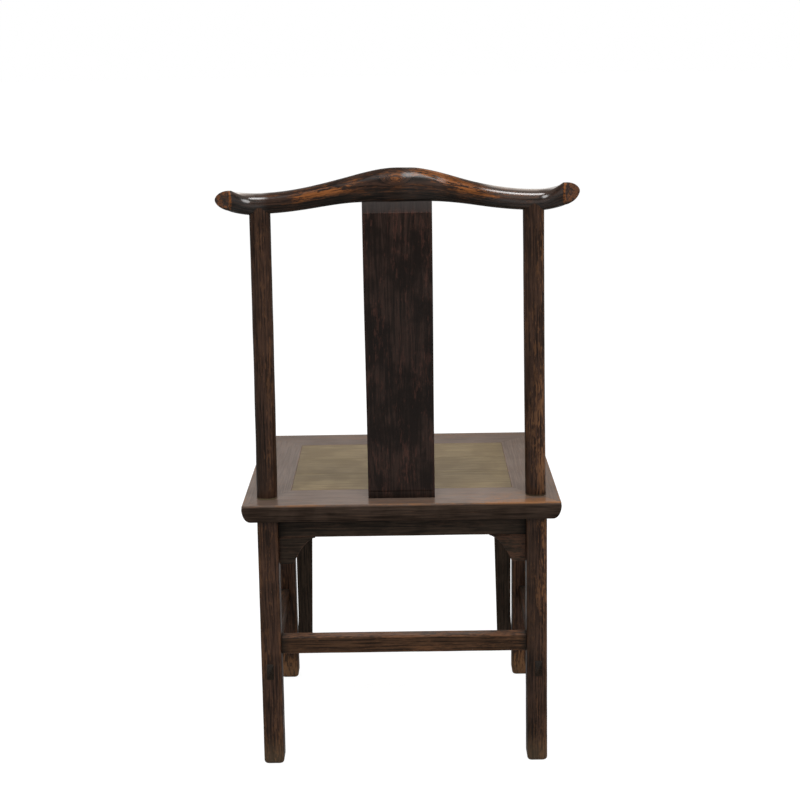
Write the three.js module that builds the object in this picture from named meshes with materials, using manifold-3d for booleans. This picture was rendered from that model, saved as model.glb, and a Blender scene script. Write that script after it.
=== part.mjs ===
// A side chair of dark stained hardwood: a carved crest rail lies on two round posts that run down
// through a mitred seat frame and become the rear legs. Millimetres, +Z up, the sitter faces -Y,
// and +X is at the sitter's left hand. Every member is its own timber, joined by tenons and tongues.
import * as THREE from 'three';
import { mergeVertices } from 'three/addons/utils/BufferGeometryUtils.js';
import Module from 'manifold-3d';

const wasm = await Module();
wasm.setup();

// Driving dimensions of the whole chair
const seatHeight = 461;
const seatWidth = 498;
const seatDepth = 400;
const crestHeight = 932.6;
const fit = 0.3;

// Seat frame: four mitred rails with a rounded under-edge
const frameThickness = 33;
const rearRailWidth = 77;
const frontRailWidth = 67;
const sideRailWidth = 71;
const edgeBulge = 0.6;
const edgeBulgeDrop = 6;
const edgeUndercut = 17;
const edgeWidestShare = 0.5;
const edgeTurnShare = 0.25;
const edgeSteps = 7;
const mitreTenonInset = 8;
const mitreTenonWidth = 13;
const mitreTenonThickness = 10;
const mitreTenonDrop = 12;
const mitreTenonRoot = 14;

// Floating seat panel and the braces under it
const boardCount = 3;
const boardThickness = 12;
const tongueThickness = 5;
const tongueLength = 6;
const tongueDrop = 5.5;
const battenSpacing = 150;
const battenWidth = 26;
const battenDepth = 18;
const dovetailHeight = 4;
const dovetailNeck = 18;
const dovetailCrown = 23;
const battenTenonWidth = 16;
const battenTenonHeight = 11;
const battenTenonLength = 13;

// Rear legs, and the posts that grow out of them
const rearLegSideInset = 35.2;
const rearLegInset = 43.5;
const rearSplayOut = 4.6;
const rearSplayBack = 5;
const legFootSize = 33;
const legTopSize = 32.8;
const legCornerRadius = 3.5;
const footRounding = 6;
const footSteps = 3;
const legCornerSteps = 2;
const legNeckOverlap = 12;
const postConvergence = 11.4;
const postLean = 46;
const postLeanPower = 1.35;
const postBaseSize = 31.4;
const postTopSize = 30.4;
const postBaseSquareness = 2.6;
const postTopSquareness = 2;
const postRoundShare = 0.5;
const postSteps = 9;
const postSides = 20;
const postTenonSize = 15;
const postTenonLength = 19;
const postTenonRoot = 12;

// Front legs
const frontLegSideInset = 32.8;
const frontLegInset = 39;
const frontSplayOut = 1.5;
const frontSplayForward = 2.5;
const frontTenonSize = 18;
const frontTenonLength = 20;

// Crest rail
const armThickness = 28.9;
const armDepth = 32.6;
const crownThickness = 50.6;
const crownDepth = 35;
const crownRise = 24.6;
const crownPastPost = 3;
const crownHalfWidth = 99;
const crownNarrowing = 0.42;
const crestOverhang = 56.1;
const tipPastPost = 5;
const tipSweep = 21;
const tipRise = 8;
const tipThickness = 30.2;
const tipDepth = 31;
const sweepPower = 1.8;
const sectionSquareness = 2.2;
const tipSquareness = 1.65;
const crestStations = 21;
const tipStations = 7;
const crestSides = 20;

// Back splat
const splatBottomWidth = 104.8;
const splatTopWidth = 102.2;
const splatThickness = 10;
const splatInset = 34;
const splatSwing = 9;
const splatEdge = 1.5;
const splatSteps = 14;
const splatTenonWidth = 84;
const splatTenonThickness = 6;
const splatTenonLength = 12;

// Aprons and the spandrels under their ends
const apronDrop = 34;
const apronThickness = 14;
const apronSetback = 12;
const apronTongue = 5;
const apronTongueLength = 8;
const spandrelDrop = 42;
const spandrelLength = 59;
const spandrelFoot = 22.5;
const spandrelBendAlongShare = 0.42;
const spandrelBendDownShare = 0.16;
const spandrelSteps = 6;
const spandrelTongueInset = 6;

// Front apron and the upright boards inside the front legs
const frontApronDrop = 30;
const jambThickness = 12;
const jambSetback = 12;
const jambTopWidth = 34;
const jambFootWidth = 27.2;
const jambDrop = 62;
const jambKneeHeightShare = 0.67;
const jambKneeWidthShare = 0.75;
const jambCornerSteps = 6;

// Stretchers, stepping up from the front to the back
const stretcherThickness = 28;
const rearStretcherThickness = 29;
const stretcherRounding = 2.5;
const stretcherCornerSteps = 2;
const rearStretcherHeight = 195.5;
const rearStretcherDepth = 20;
const sideStretcherHeight = 153;
const sideStretcherDepth = 18;
const sideStretcherShift = 4.6;
const sideTenonThickness = 11.5;
const blindTenonThickness = 9;
const blindTenonLength = 20;
const tenonShoulder = 3;
const footrestHeight = 50;
const footrestThickness = 20;
const footrestDepth = 37;
const footrestProud = 5;
const footrestTenonInset = 6;

// How far a cutting solid runs past what it cuts, and how close two points are one
const overrun = 20;
const weldDistance = 0.0005;

// Finishes, as seen on the chair
const finishes = {
  crest: { color: 0x2f2019, roughness: 0.34 },
  post: { color: 0x33231c, roughness: 0.45 },
  splat: { color: 0x261a16, roughness: 0.42 },
  frame: { color: 0x4a3833, roughness: 0.36 },
  panel: { color: 0x6f5f45, roughness: 0.4 },
  apron: { color: 0x2a1f1a, roughness: 0.5 },
  stretcher: { color: 0x3a261c, roughness: 0.48 },
};

const lerp = THREE.MathUtils.lerp;

// Places that follow from the sizes above
const rearLegSpread = seatWidth / 2 - rearLegSideInset;
const frontLegSpread = seatWidth / 2 - frontLegSideInset;
const frontLegPlace = seatDepth - frontLegInset;
const postTopSpread = rearLegSpread - postConvergence;
const crownLength = postTopSpread + crownPastPost;
const tipStart = postTopSpread + tipPastPost;
const crestReach = postTopSpread + crestOverhang;
const frameBottom = seatHeight - frameThickness;
const legTop = frameBottom - fit;
const grooveTop = seatHeight - tongueDrop;
const LEFT = 1;
const RIGHT = -1;
const sideNames = new Map([[LEFT, 'left'], [RIGHT, 'right']]);

// Solids

function solidFrom(geometry) {
  const bare = geometry.clone();
  bare.deleteAttribute('normal');
  bare.deleteAttribute('uv');
  const merged = mergeVertices(bare, weldDistance);
  const mesh = new wasm.Mesh({
    numProp: 3,
    vertProperties: new Float32Array(merged.attributes.position.array),
    triVerts: new Uint32Array(merged.index.array),
  });
  return new wasm.Manifold(mesh);
}

function joined(solid, part) {
  return solid.add(part);
}

function geometryFrom(solid) {
  const { vertProperties, triVerts } = solid.getMesh();
  const geometry = new THREE.BufferGeometry();
  geometry.setAttribute('position', new THREE.Float32BufferAttribute(vertProperties, 3));
  geometry.setIndex(Array.from(triVerts));
  return geometry;
}

function block([x0, x1], [y0, y1], [z0, z1], grow = 0) {
  const size = [x1 - x0, y1 - y0, z1 - z0].map((length) => Math.abs(length) + 2 * grow);
  const box = new THREE.BoxGeometry(...size);
  box.translate((x0 + x1) / 2, (y0 + y1) / 2, (z0 + z1) / 2);
  return solidFrom(box);
}

// The outline's two numbers follow the next two axes after the one that it is drawn along
const turns = {
  x: new THREE.Matrix4().makeBasis(
    new THREE.Vector3(0, 1, 0), new THREE.Vector3(0, 0, 1), new THREE.Vector3(1, 0, 0)),
  y: new THREE.Matrix4().makeBasis(
    new THREE.Vector3(0, 0, 1), new THREE.Vector3(1, 0, 0), new THREE.Vector3(0, 1, 0)),
  z: new THREE.Matrix4(),
};

function extrudeAlong(axis, outline, [from, to]) {
  const shape = new THREE.Shape(outline.map(([u, v]) => new THREE.Vector2(u, v)));
  const low = Math.min(from, to);
  const options = { depth: Math.abs(to - from), bevelEnabled: false };
  const geometry = new THREE.ExtrudeGeometry(shape, options);
  geometry.translate(0, 0, low);
  geometry.applyMatrix4(turns[axis]);
  return solidFrom(geometry);
}

// A closed skin over rings of equal count, each ring convex and flat
function loft(rings) {
  const count = rings[0].length;
  const places = rings.flat().flatMap((point) => point.toArray());
  const faces = [];
  for (let r = 0; r + 1 < rings.length; r += 1) {
    for (let i = 0; i < count; i += 1) {
      const next = (i + 1) % count;
      const [a, b] = [r * count + i, r * count + next];
      faces.push([a, b, b + count], [a, b + count, a + count]);
    }
  }
  const last = (rings.length - 1) * count;
  for (let i = 1; i + 1 < count; i += 1) {
    faces.push([0, i + 1, i], [last, last + i, last + i + 1]);
  }
  const geometry = new THREE.BufferGeometry();
  geometry.setAttribute('position', new THREE.Float32BufferAttribute(places, 3));
  const outward = enclosedVolume(rings.flat(), faces) > 0;
  geometry.setIndex(faces.flatMap((face) => (outward ? face : face.toReversed())));
  return solidFrom(geometry);
}

function enclosedVolume(points, faces) {
  const across = new THREE.Vector3();
  return faces.reduce((sum, [a, b, c]) => {
    across.crossVectors(points[b], points[c]);
    return sum + points[a].dot(across);
  }, 0);
}

function roundedOutline(halfU, halfV, radius, steps) {
  const outline = [];
  const corners = [[1, 1], [-1, 1], [-1, -1], [1, -1]];
  corners.forEach(([u, v], corner) => {
    for (let i = 0; i <= steps; i += 1) {
      const angle = (Math.PI / 2) * (corner + i / steps);
      outline.push([
        u * (halfU - radius) + radius * Math.cos(angle),
        v * (halfV - radius) + radius * Math.sin(angle),
      ]);
    }
  });
  return outline;
}

function ovalOutline(halfU, halfV, squareness, sides) {
  const pull = (value) => Math.sign(value) * Math.abs(value) ** (2 / squareness);
  return Array.from({ length: sides }, (_, i) => {
    const angle = (2 * Math.PI * i) / sides;
    return [halfU * pull(Math.cos(angle)), halfV * pull(Math.sin(angle))];
  });
}

function levelRing(outline, x, y, z) {
  return outline.map(([u, v]) => new THREE.Vector3(x + u, y + v, z));
}

// Joints: a tenon or tongue belongs to one timber, and its socket is cut into each host

const sockets = new Map();

function cutInto(hosts, solid) {
  [hosts].flat().forEach((host) => {
    sockets.set(host, [...(sockets.get(host) ?? []), solid]);
  });
}

function tenonInto(hosts, shapeAt) {
  cutInto(hosts, shapeAt(fit));
  return shapeAt(0);
}

// Leg centre lines, as half spacings in x and places in y

function rearLegAt(z) {
  const up = z / seatHeight;
  return {
    x: rearLegSpread + rearSplayOut * (1 - up),
    y: -rearLegInset + rearSplayBack * (1 - up),
    half: lerp(legFootSize, legTopSize, up) / 2,
  };
}

function frontLegAt(z) {
  const up = z / seatHeight;
  return {
    x: frontLegSpread + frontSplayOut * (1 - up),
    y: -frontLegPlace - frontSplayForward * (1 - up),
    half: lerp(legFootSize, legTopSize, up) / 2,
  };
}

function postAt(z) {
  const up = (z - seatHeight) / (crestHeight - seatHeight);
  const lean = up > 0 ? postLean * up ** postLeanPower : 0;
  const rise = Math.max(up, 0);
  return {
    x: lerp(rearLegSpread, postTopSpread, rise),
    y: -rearLegInset + lean,
    half: lerp(postBaseSize, postTopSize, rise) / 2,
    squareness: lerp(postBaseSquareness, postTopSquareness, Math.min(1, rise / postRoundShare)),
  };
}

function squareLeg(legAt, side) {
  const rounding = Array.from({ length: footSteps + 1 }, (_, i) => {
    const angle = (Math.PI / 2) * (i / footSteps);
    return { z: footRounding * (1 - Math.cos(angle)), loss: footRounding * (1 - Math.sin(angle)) };
  });
  const rings = [...rounding, { z: legTop, loss: 0 }].map(({ z, loss }) => {
    const { x, y, half } = legAt(z);
    const reach = half - loss;
    const radius = Math.min(legCornerRadius, reach / 2);
    return levelRing(roundedOutline(reach, reach, radius, legCornerSteps), side * x, y, z);
  });
  return loft(rings);
}

function postSolid(side, grow) {
  const bottom = legTop - legNeckOverlap;
  const levels = Array.from({ length: postSteps + 1 }, (_, i) => (
    lerp(seatHeight, crestHeight, i / postSteps)
  ));
  const rings = [bottom, ...levels].map((z) => {
    const { x, y, half, squareness } = postAt(z);
    return levelRing(ovalOutline(half + grow, half + grow, squareness, postSides), side * x, y, z);
  });
  return loft(rings);
}

// Crest rail: sections along a line that dips from the crown to the posts, then sweeps back at the tips

const crestLine = -rearLegInset + postLean;

function crestSection(along, grow) {
  const x = Math.abs(along);
  const inArm = Math.min(x, crownLength);
  const rise = (crownRise * (1 + Math.cos((Math.PI * inArm) / crownLength))) / 2;
  const swell = 1 / (1 + (x / crownHalfWidth) ** 2) ** 2;
  const tip = Math.max(0, (x - tipStart) / (crestReach - tipStart));
  const sweep = tipSweep * tip ** sweepPower;
  const turn = Math.atan2(tipSweep * sweepPower * tip ** (sweepPower - 1), crestReach - tipStart);
  const thickness = lerp(lerp(armThickness, crownThickness, swell), tipThickness, tip);
  const depth = lerp(lerp(armDepth, crownDepth, swell), tipDepth, tip);
  const squareness = lerp(sectionSquareness, tipSquareness, tip ** 2);
  const height = crestHeight + rise + tipRise * tip ** sweepPower;
  const centre = new THREE.Vector3(along, crestLine + sweep, height);
  const back = new THREE.Vector3(-Math.sign(along) * Math.sin(turn), Math.cos(turn), 0);
  const outline = ovalOutline(depth / 2 + grow, thickness / 2 + grow, squareness, crestSides);
  return outline.map(([u, v]) => {
    const aboveMiddle = Math.max(0, v / (thickness / 2));
    const narrow = 1 - crownNarrowing * swell * aboveMiddle ** 2;
    return centre.clone().addScaledVector(back, u * narrow).add(new THREE.Vector3(0, 0, v));
  });
}

function crestSolid(grow) {
  const arms = Array.from({ length: crestStations }, (_, i) => (
    lerp(-tipStart, tipStart, i / (crestStations - 1))
  ));
  const tips = Array.from({ length: tipStations }, (_, i) => (
    lerp(tipStart, crestReach, (i + 1) / tipStations)
  ));
  const stations = [...tips.toReversed().map((x) => -x), ...arms, ...tips];
  return loft(stations.map((x) => crestSection(x, grow)));
}

function buildRearLeg(side) {
  const name = sideNames.get(side);
  const post = postSolid(side, 0).subtract(crestSolid(fit));
  const underside = crestHeight - armThickness / 2;
  const { x, y } = postAt(underside);
  const tenon = tenonInto('crest_rail', (grow) => {
    const length = postTenonLength + postTenonRoot + 2 * grow;
    const radius = postTenonSize / 2 + grow;
    const pin = new THREE.CylinderGeometry(radius, radius, length, postSides);
    pin.rotateX(Math.PI / 2);
    pin.translate(side * x, y, underside + (postTenonLength - postTenonRoot) / 2);
    return solidFrom(pin);
  });
  cutInto(['seat_rail_rear', `seat_rail_${name}`], postSolid(side, fit));
  return squareLeg(rearLegAt, side).add(post).add(tenon);
}

function buildFrontLeg(side) {
  const name = sideNames.get(side);
  const { x, y } = frontLegAt(frameBottom);
  const reach = frontTenonSize / 2;
  const tenon = tenonInto(['seat_rail_front', `seat_rail_${name}`], (grow) => block(
    [side * x - reach, side * x + reach],
    [y - reach, y + reach],
    [frameBottom - overrun, frameBottom + frontTenonLength],
    grow,
  ));
  return squareLeg(frontLegAt, side).add(tenon);
}

function splatLine(z) {
  const up = (z - seatHeight) / (crestHeight + crownRise - crownThickness / 2 - seatHeight);
  return lerp(-splatInset, crestLine, up) - splatSwing * Math.sin(2 * Math.PI * up);
}

function buildSplat() {
  const top = crestHeight + crownRise;
  const bottom = seatHeight + fit;
  const underside = top - crownThickness / 2;
  const rings = Array.from({ length: splatSteps + 1 }, (_, i) => {
    const z = lerp(bottom, top, i / splatSteps);
    const half = lerp(splatBottomWidth, splatTopWidth, i / splatSteps) / 2;
    const corners = [[1, 1], [-1, 1], [-1, -1], [1, -1]];
    const outline = corners.flatMap(([u, v]) => {
      const along = [u * (half - splatEdge), (v * splatThickness) / 2];
      const across = [u * half, v * (splatThickness / 2 - splatEdge)];
      return u * v > 0 ? [across, along] : [along, across];
    });
    return levelRing(outline, 0, splatLine(z), z);
  });
  const across = [-splatTenonWidth / 2, splatTenonWidth / 2];
  const thickness = (y) => [y - splatTenonThickness / 2, y + splatTenonThickness / 2];
  const low = tenonInto('seat_rail_rear', (grow) => block(
    across,
    thickness(splatLine(bottom)),
    [bottom - splatTenonLength, bottom + splatTenonThickness],
    grow,
  ));
  const high = tenonInto('crest_rail', (grow) => block(
    across,
    thickness(splatLine(underside)),
    [underside - splatTenonThickness, underside + splatTenonLength],
    grow,
  ));
  return loft(rings).subtract(crestSolid(fit)).add(low).add(high);
}

// Seat frame

function railProfile(width, outward) {
  const curve = new THREE.CubicBezierCurve(
    new THREE.Vector2(edgeBulge, seatHeight - edgeBulgeDrop),
    new THREE.Vector2(edgeBulge, lerp(seatHeight, frameBottom, edgeWidestShare)),
    new THREE.Vector2(-edgeUndercut * edgeTurnShare, frameBottom),
    new THREE.Vector2(-edgeUndercut, frameBottom),
  );
  const edge = curve.getPoints(edgeSteps).map((point) => [point.x, point.y]);
  const groove = tongueLength + fit;
  const profile = [
    [0, seatHeight],
    ...edge,
    [-width, frameBottom],
    [-width, grooveTop - tongueThickness - fit],
    [groove - width, grooveTop - tongueThickness - fit],
    [groove - width, grooveTop + fit],
    [-width, grooveTop + fit],
    [-width, seatHeight],
  ];
  return profile.map(([u, z]) => outward(u, z));
}

// What lies past a corner's mitre line, on the side that a direction points to
function mitreWaste(side, end, keepsSide, gap) {
  const railWidth = end > 0 ? rearRailWidth : frontRailWidth;
  const outer = new THREE.Vector2(side * seatWidth / 2, end > 0 ? 0 : -seatDepth);
  const inner = outer.clone().add(new THREE.Vector2(-side * sideRailWidth, -end * railWidth));
  const along = inner.clone().sub(outer).normalize();
  const away = new THREE.Vector2(-along.y, along.x);
  const towardsSide = away.x * side > 0 ? away : away.negate();
  const waste = keepsSide ? towardsSide.clone().negate() : towardsSide;
  const near = (point, reach) => point.clone().addScaledVector(along, reach).addScaledVector(waste, gap);
  const far = (point, reach) => near(point, reach).addScaledVector(waste, seatWidth);
  const outline = [
    near(outer, -seatWidth),
    near(inner, seatWidth),
    far(inner, seatWidth),
    far(outer, -seatWidth),
  ];
  const corners = outline.map((point) => point.toArray());
  return extrudeAlong('z', corners, [frameBottom - overrun, seatHeight + overrun]);
}

function sideRailBar(side) {
  const profile = railProfile(sideRailWidth, (u, z) => [z, side * (seatWidth / 2 + u)]);
  return extrudeAlong('y', profile, [-seatDepth - overrun, overrun]);
}

function crossRailBar(end) {
  const [width, face] = end > 0 ? [rearRailWidth, 0] : [frontRailWidth, -seatDepth];
  const profile = railProfile(width, (u, z) => [face + end * u, z]);
  return extrudeAlong('x', profile, [-seatWidth / 2 - overrun, seatWidth / 2 + overrun]);
}

function buildSideRail(side) {
  return sideRailBar(side)
    .subtract(mitreWaste(side, 1, true, -fit))
    .subtract(mitreWaste(side, -1, true, -fit));
}

function buildCrossRail(end) {
  const face = end > 0 ? 0 : -seatDepth;
  const railWidth = end > 0 ? rearRailWidth : frontRailWidth;
  let rail = crossRailBar(end)
    .subtract(mitreWaste(LEFT, end, false, 0))
    .subtract(mitreWaste(RIGHT, end, false, 0));
  [LEFT, RIGHT].forEach((side) => {
    const deep = mitreTenonInset + mitreTenonWidth;
    const shoulder = seatWidth / 2 - (deep * sideRailWidth) / railWidth;
    const top = seatHeight - mitreTenonDrop;
    const tenon = tenonInto(`seat_rail_${sideNames.get(side)}`, (grow) => block(
      [side * (shoulder - mitreTenonRoot), side * (seatWidth / 2 + overrun)],
      [face - end * mitreTenonInset, face - end * deep],
      [top - mitreTenonThickness, top],
      grow,
    ));
    rail = rail.add(tenon.intersect(sideRailBar(side)));
  });
  return rail;
}

// Seat panel: boards side by side, held by tongues in the frame's grooves

const panelBack = -rearRailWidth;
const panelFront = frontRailWidth - seatDepth;
const panelHalf = seatWidth / 2 - sideRailWidth;
const boardNames = Array.from({ length: boardCount }, (_, i) => {
  if (i === 0) return 'seat_board_rear';
  if (i === boardCount - 1) return 'seat_board_front';
  return i === 1 ? 'seat_board_middle' : `seat_board_middle_${i}`;
});

function buildBoard(index) {
  const pitch = (panelBack - panelFront) / boardCount;
  const back = panelBack - index * pitch;
  const [isRear, isFront] = [index === 0, index === boardCount - 1];
  const field = [back - pitch + (isFront ? fit : fit / 2), back - (isRear ? fit : fit / 2)];
  const tongue = [field[0] - (isFront ? tongueLength : 0), field[1] + (isRear ? tongueLength : 0)];
  const reach = panelHalf - fit;
  const width = [-reach, reach];
  const long = [-reach - tongueLength, reach + tongueLength];
  return block(width, field, [seatHeight - boardThickness, seatHeight])
    .add(block(long, tongue, [grooveTop - tongueThickness, grooveTop]));
}

function buildBatten(side) {
  const x = side * battenSpacing / 2;
  const under = seatHeight - boardThickness - fit;
  const crown = under + dovetailHeight;
  const [back, front] = [panelBack - fit, panelFront + fit];
  const trapezoid = (grow) => [
    [under - overrun, x - dovetailNeck / 2 - grow],
    [under, x - dovetailNeck / 2 - grow],
    [crown + grow, x - dovetailCrown / 2 - grow],
    [crown + grow, x + dovetailCrown / 2 + grow],
    [under, x + dovetailNeck / 2 + grow],
    [under - overrun, x + dovetailNeck / 2 + grow],
  ];
  cutInto(boardNames, extrudeAlong('y', trapezoid(fit), [front - overrun, back + overrun]));
  const middle = under - battenDepth / 2;
  const width = [x - battenWidth / 2, x + battenWidth / 2];
  const body = block(width, [front, back], [under - battenDepth, under]);
  const below = block(width, [front - overrun, back + overrun], [under - 2 * overrun, middle]);
  const dovetail = extrudeAlong('y', trapezoid(0), [front, back]).subtract(below);
  const tenon = (host, face, away) => tenonInto(host, (grow) => block(
    [x - battenTenonWidth / 2, x + battenTenonWidth / 2],
    [face - away * battenTenonLength, face + away * battenTenonLength],
    [middle - battenTenonHeight / 2, middle + battenTenonHeight / 2],
    grow,
  ));
  return body.add(dovetail).add(tenon('seat_rail_rear', back, 1)).add(tenon('seat_rail_front', front, -1));
}

// Boards that stand between two legs. A run along x is seen from behind, a run along y from the side.

function standing(run, outline, thickness) {
  return run === 'x'
    ? extrudeAlong('y', outline.map(([u, z]) => [z, u]), thickness)
    : extrudeAlong('x', outline, thickness);
}

function standingBlock(run, along, thickness, height, grow) {
  return run === 'x' ? block(along, thickness, height, grow) : block(thickness, along, height, grow);
}

const apronTop = frameBottom - fit;
const apronBottom = frameBottom - apronDrop;

function middleOf([a, b], thickness) {
  return [(a + b - thickness) / 2, (a + b + thickness) / 2];
}

// One side's apron: its ends follow the legs' faces, and tongues enter the legs and the seat rail
function buildApron({ run, thickness, faces, legs, rail }) {
  const [low, high] = faces;
  const outline = [
    [low(apronBottom) + fit, apronBottom],
    [high(apronBottom) - fit, apronBottom],
    [high(apronTop) - fit, apronTop],
    [low(apronTop) + fit, apronTop],
  ];
  const tongue = middleOf(thickness, apronTongue);
  const inner = [low(apronTop) + apronTongueLength, high(apronTop) - apronTongueLength];
  const height = [apronBottom + apronTongue, apronTop];
  const ends = faces.map((face, i) => {
    const reach = face(apronTop) + (i === 0 ? -1 : 1) * apronTongueLength;
    const along = i === 0 ? [reach, inner[0]] : [inner[1], reach];
    return tenonInto(legs[i], (grow) => standingBlock(run, along, tongue, height, grow));
  });
  const upper = tenonInto(rail, (grow) => standingBlock(
    run, inner, tongue, [apronTop - apronTongue, apronTop + apronTongue], grow));
  return [standing(run, outline, thickness), ...ends, upper].reduce(joined);
}

// A small curved bracket under one end of an apron, tongued into the leg and the apron
function buildSpandrel({ run, thickness, faces, legs, name }, end) {
  const face = faces[end];
  const inward = end === 0 ? 1 : -1;
  const top = apronBottom - fit;
  const foot = apronBottom - spandrelDrop;
  const at = (along, z) => [face(z) + inward * (fit + along), z];
  const bend = at(
    lerp(spandrelFoot, spandrelLength, spandrelBendAlongShare),
    lerp(top, foot, spandrelBendDownShare),
  );
  const [start, middle, finish] = [at(spandrelFoot, foot), bend, at(spandrelLength, top)]
    .map(([u, z]) => new THREE.Vector2(u, z));
  const curve = new THREE.QuadraticBezierCurve(start, middle, finish);
  const outline = [
    at(0, top),
    at(0, foot),
    ...curve.getPoints(spandrelSteps).map((point) => [point.x, point.y]),
  ];
  const tongue = middleOf(thickness, apronTongue);
  const intoLeg = tenonInto(legs[end], (grow) => standingBlock(
    run,
    [face(top) - inward * apronTongueLength, face(top) + inward * apronTongueLength],
    tongue,
    [foot + spandrelTongueInset, top - spandrelTongueInset],
    grow,
  ));
  const intoApron = tenonInto(`${name}_apron`, (grow) => standingBlock(
    run,
    [face(top) + inward * spandrelTongueInset, face(top) + inward * (spandrelLength - spandrelFoot)],
    tongue,
    [top - apronTongue, top + apronTongue],
    grow,
  ));
  return standing(run, outline, thickness).add(intoLeg).add(intoApron);
}

const apronMiddle = (apronTop + apronBottom) / 2;
const rearFace = rearLegAt(apronMiddle).y + rearLegAt(apronMiddle).half;

const rearSide = {
  name: 'rear',
  run: 'x',
  faces: [(z) => rearLegAt(z).half - rearLegAt(z).x, (z) => rearLegAt(z).x - rearLegAt(z).half],
  legs: ['rear_leg_right', 'rear_leg_left'],
  rail: 'seat_rail_rear',
  thickness: setBack(rearFace, -1, apronSetback, apronThickness),
};

function setBack(face, inward, setback, thickness) {
  const outer = face + inward * setback;
  return [outer, outer + inward * thickness].toSorted((a, b) => a - b);
}

function lateralSide(side) {
  const name = sideNames.get(side);
  const leg = rearLegAt(apronMiddle);
  return {
    name,
    run: 'y',
    faces: [(z) => frontLegAt(z).y + frontLegAt(z).half, (z) => rearLegAt(z).y - rearLegAt(z).half],
    legs: [`front_leg_${name}`, `rear_leg_${name}`],
    rail: `seat_rail_${name}`,
    thickness: setBack(side * (leg.x + leg.half), -side, apronSetback, apronThickness),
  };
}

// Front: a top board and two upright boards that frame the opening down to the footrest

const jambTop = frameBottom - jambDrop;
const footrestTop = footrestHeight + footrestThickness;
const frontInner = (z) => frontLegAt(z).x - frontLegAt(z).half;
const frontFace = frontLegAt(apronMiddle).y - frontLegAt(apronMiddle).half;
const jambSpan = setBack(frontFace, 1, jambSetback, jambThickness);

function buildFrontApron() {
  const reach = frontInner(jambTop) - fit;
  const soffit = frameBottom - frontApronDrop;
  const radius = soffit - jambTop;
  const open = frontInner(jambTop) - jambTopWidth;
  const corner = (side) => Array.from({ length: jambCornerSteps + 1 }, (_, i) => {
    const angle = (Math.PI / 2) * (i / jambCornerSteps);
    return [side * (open - radius + radius * Math.cos(angle)), jambTop + radius * Math.sin(angle)];
  });
  const outline = [
    [-reach, jambTop],
    ...corner(-1),
    ...corner(1).toReversed(),
    [reach, jambTop],
    [frontInner(apronTop) - fit, apronTop],
    [fit - frontInner(apronTop), apronTop],
  ];
  const tongue = middleOf(jambSpan, apronTongue);
  const sides = [LEFT, RIGHT].map((side) => tenonInto(`front_leg_${sideNames.get(side)}`, (grow) => block(
    [side * (reach - apronTongueLength), side * (reach + apronTongueLength)],
    tongue,
    [jambTop + apronTongue, apronTop - apronTongue],
    grow,
  )));
  const upper = tenonInto('seat_rail_front', (grow) => block(
    [-open, open], tongue, [apronTop - apronTongue, apronTop + apronTongue], grow));
  return [standing('x', outline, jambSpan), ...sides, upper].reduce(joined);
}

function buildJamb(side) {
  const [top, foot] = [jambTop - fit, footrestTop + fit];
  const knee = lerp(foot, top, jambKneeHeightShare);
  const inner = (z, width) => side * (frontInner(z) - width);
  const outline = [
    [inner(foot, fit), foot],
    [inner(top, fit), top],
    [inner(top, jambTopWidth), top],
    [inner(knee, lerp(jambFootWidth, jambTopWidth, jambKneeWidthShare)), knee],
    [inner(foot, jambFootWidth), foot],
  ];
  const tongue = middleOf(jambSpan, apronTongue);
  const intoLeg = tenonInto(`front_leg_${sideNames.get(side)}`, (grow) => block(
    [side * (frontInner(top) - apronTongueLength), side * (frontInner(top) + apronTongueLength)],
    tongue,
    [foot + spandrelTongueInset, top - spandrelTongueInset],
    grow,
  ));
  return standing('x', outline, jambSpan).add(intoLeg);
}

// Stretchers

function bar(run, along, [t0, t1], [z0, z1]) {
  const section = roundedOutline((t1 - t0) / 2, (z1 - z0) / 2, stretcherRounding, stretcherCornerSteps);
  const outline = section.map(([u, v]) => [(t0 + t1) / 2 + u, (z0 + z1) / 2 + v]);
  return run === 'x'
    ? extrudeAlong('x', outline, along)
    : extrudeAlong('y', outline.map(([u, v]) => [v, u]), along);
}

function buildRearStretcher() {
  const height = [rearStretcherHeight, rearStretcherHeight + rearStretcherThickness];
  const { x, y, half } = rearLegAt(height[1]);
  const reach = x - half - fit;
  const rail = bar('x', [-reach, reach], [y - rearStretcherDepth / 2, y + rearStretcherDepth / 2], height);
  const tenons = [LEFT, RIGHT].map((side) => tenonInto(`rear_leg_${sideNames.get(side)}`, (grow) => block(
    [side * (reach - blindTenonLength), side * (reach + blindTenonLength)],
    [y - blindTenonThickness / 2, y + blindTenonThickness / 2],
    [height[0] + tenonShoulder, height[1] - tenonShoulder],
    grow,
  )));
  return [rail, ...tenons].reduce(joined);
}

function buildSideStretcher(side) {
  const name = sideNames.get(side);
  const height = [sideStretcherHeight, sideStretcherHeight + stretcherThickness];
  const rear = rearLegAt(sideStretcherHeight);
  const front = frontLegAt(sideStretcherHeight);
  const centre = side * (rear.x + sideStretcherShift);
  const rearTop = rearLegAt(height[1]);
  const along = [front.y + front.half + fit, rearTop.y - rearTop.half - fit];
  const across = [centre - sideStretcherDepth / 2, centre + sideStretcherDepth / 2];
  const tenonAcross = middleOf([side * rear.x, centre], sideTenonThickness);
  const rail = bar('y', along, across, height);
  const legBack = rear.y + rear.half;
  const through = tenonInto(`rear_leg_${name}`, (grow) => block(
    tenonAcross, [along[1] - tenonShoulder, legBack], height, grow));
  const blind = tenonInto(`front_leg_${name}`, (grow) => block(
    tenonAcross,
    [along[0] - blindTenonLength, along[0] + tenonShoulder],
    [height[0] + tenonShoulder, height[1] - tenonShoulder],
    grow,
  ));
  return rail.add(through.intersect(bar('y', [along[0], legBack], across, height))).add(blind);
}

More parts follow.
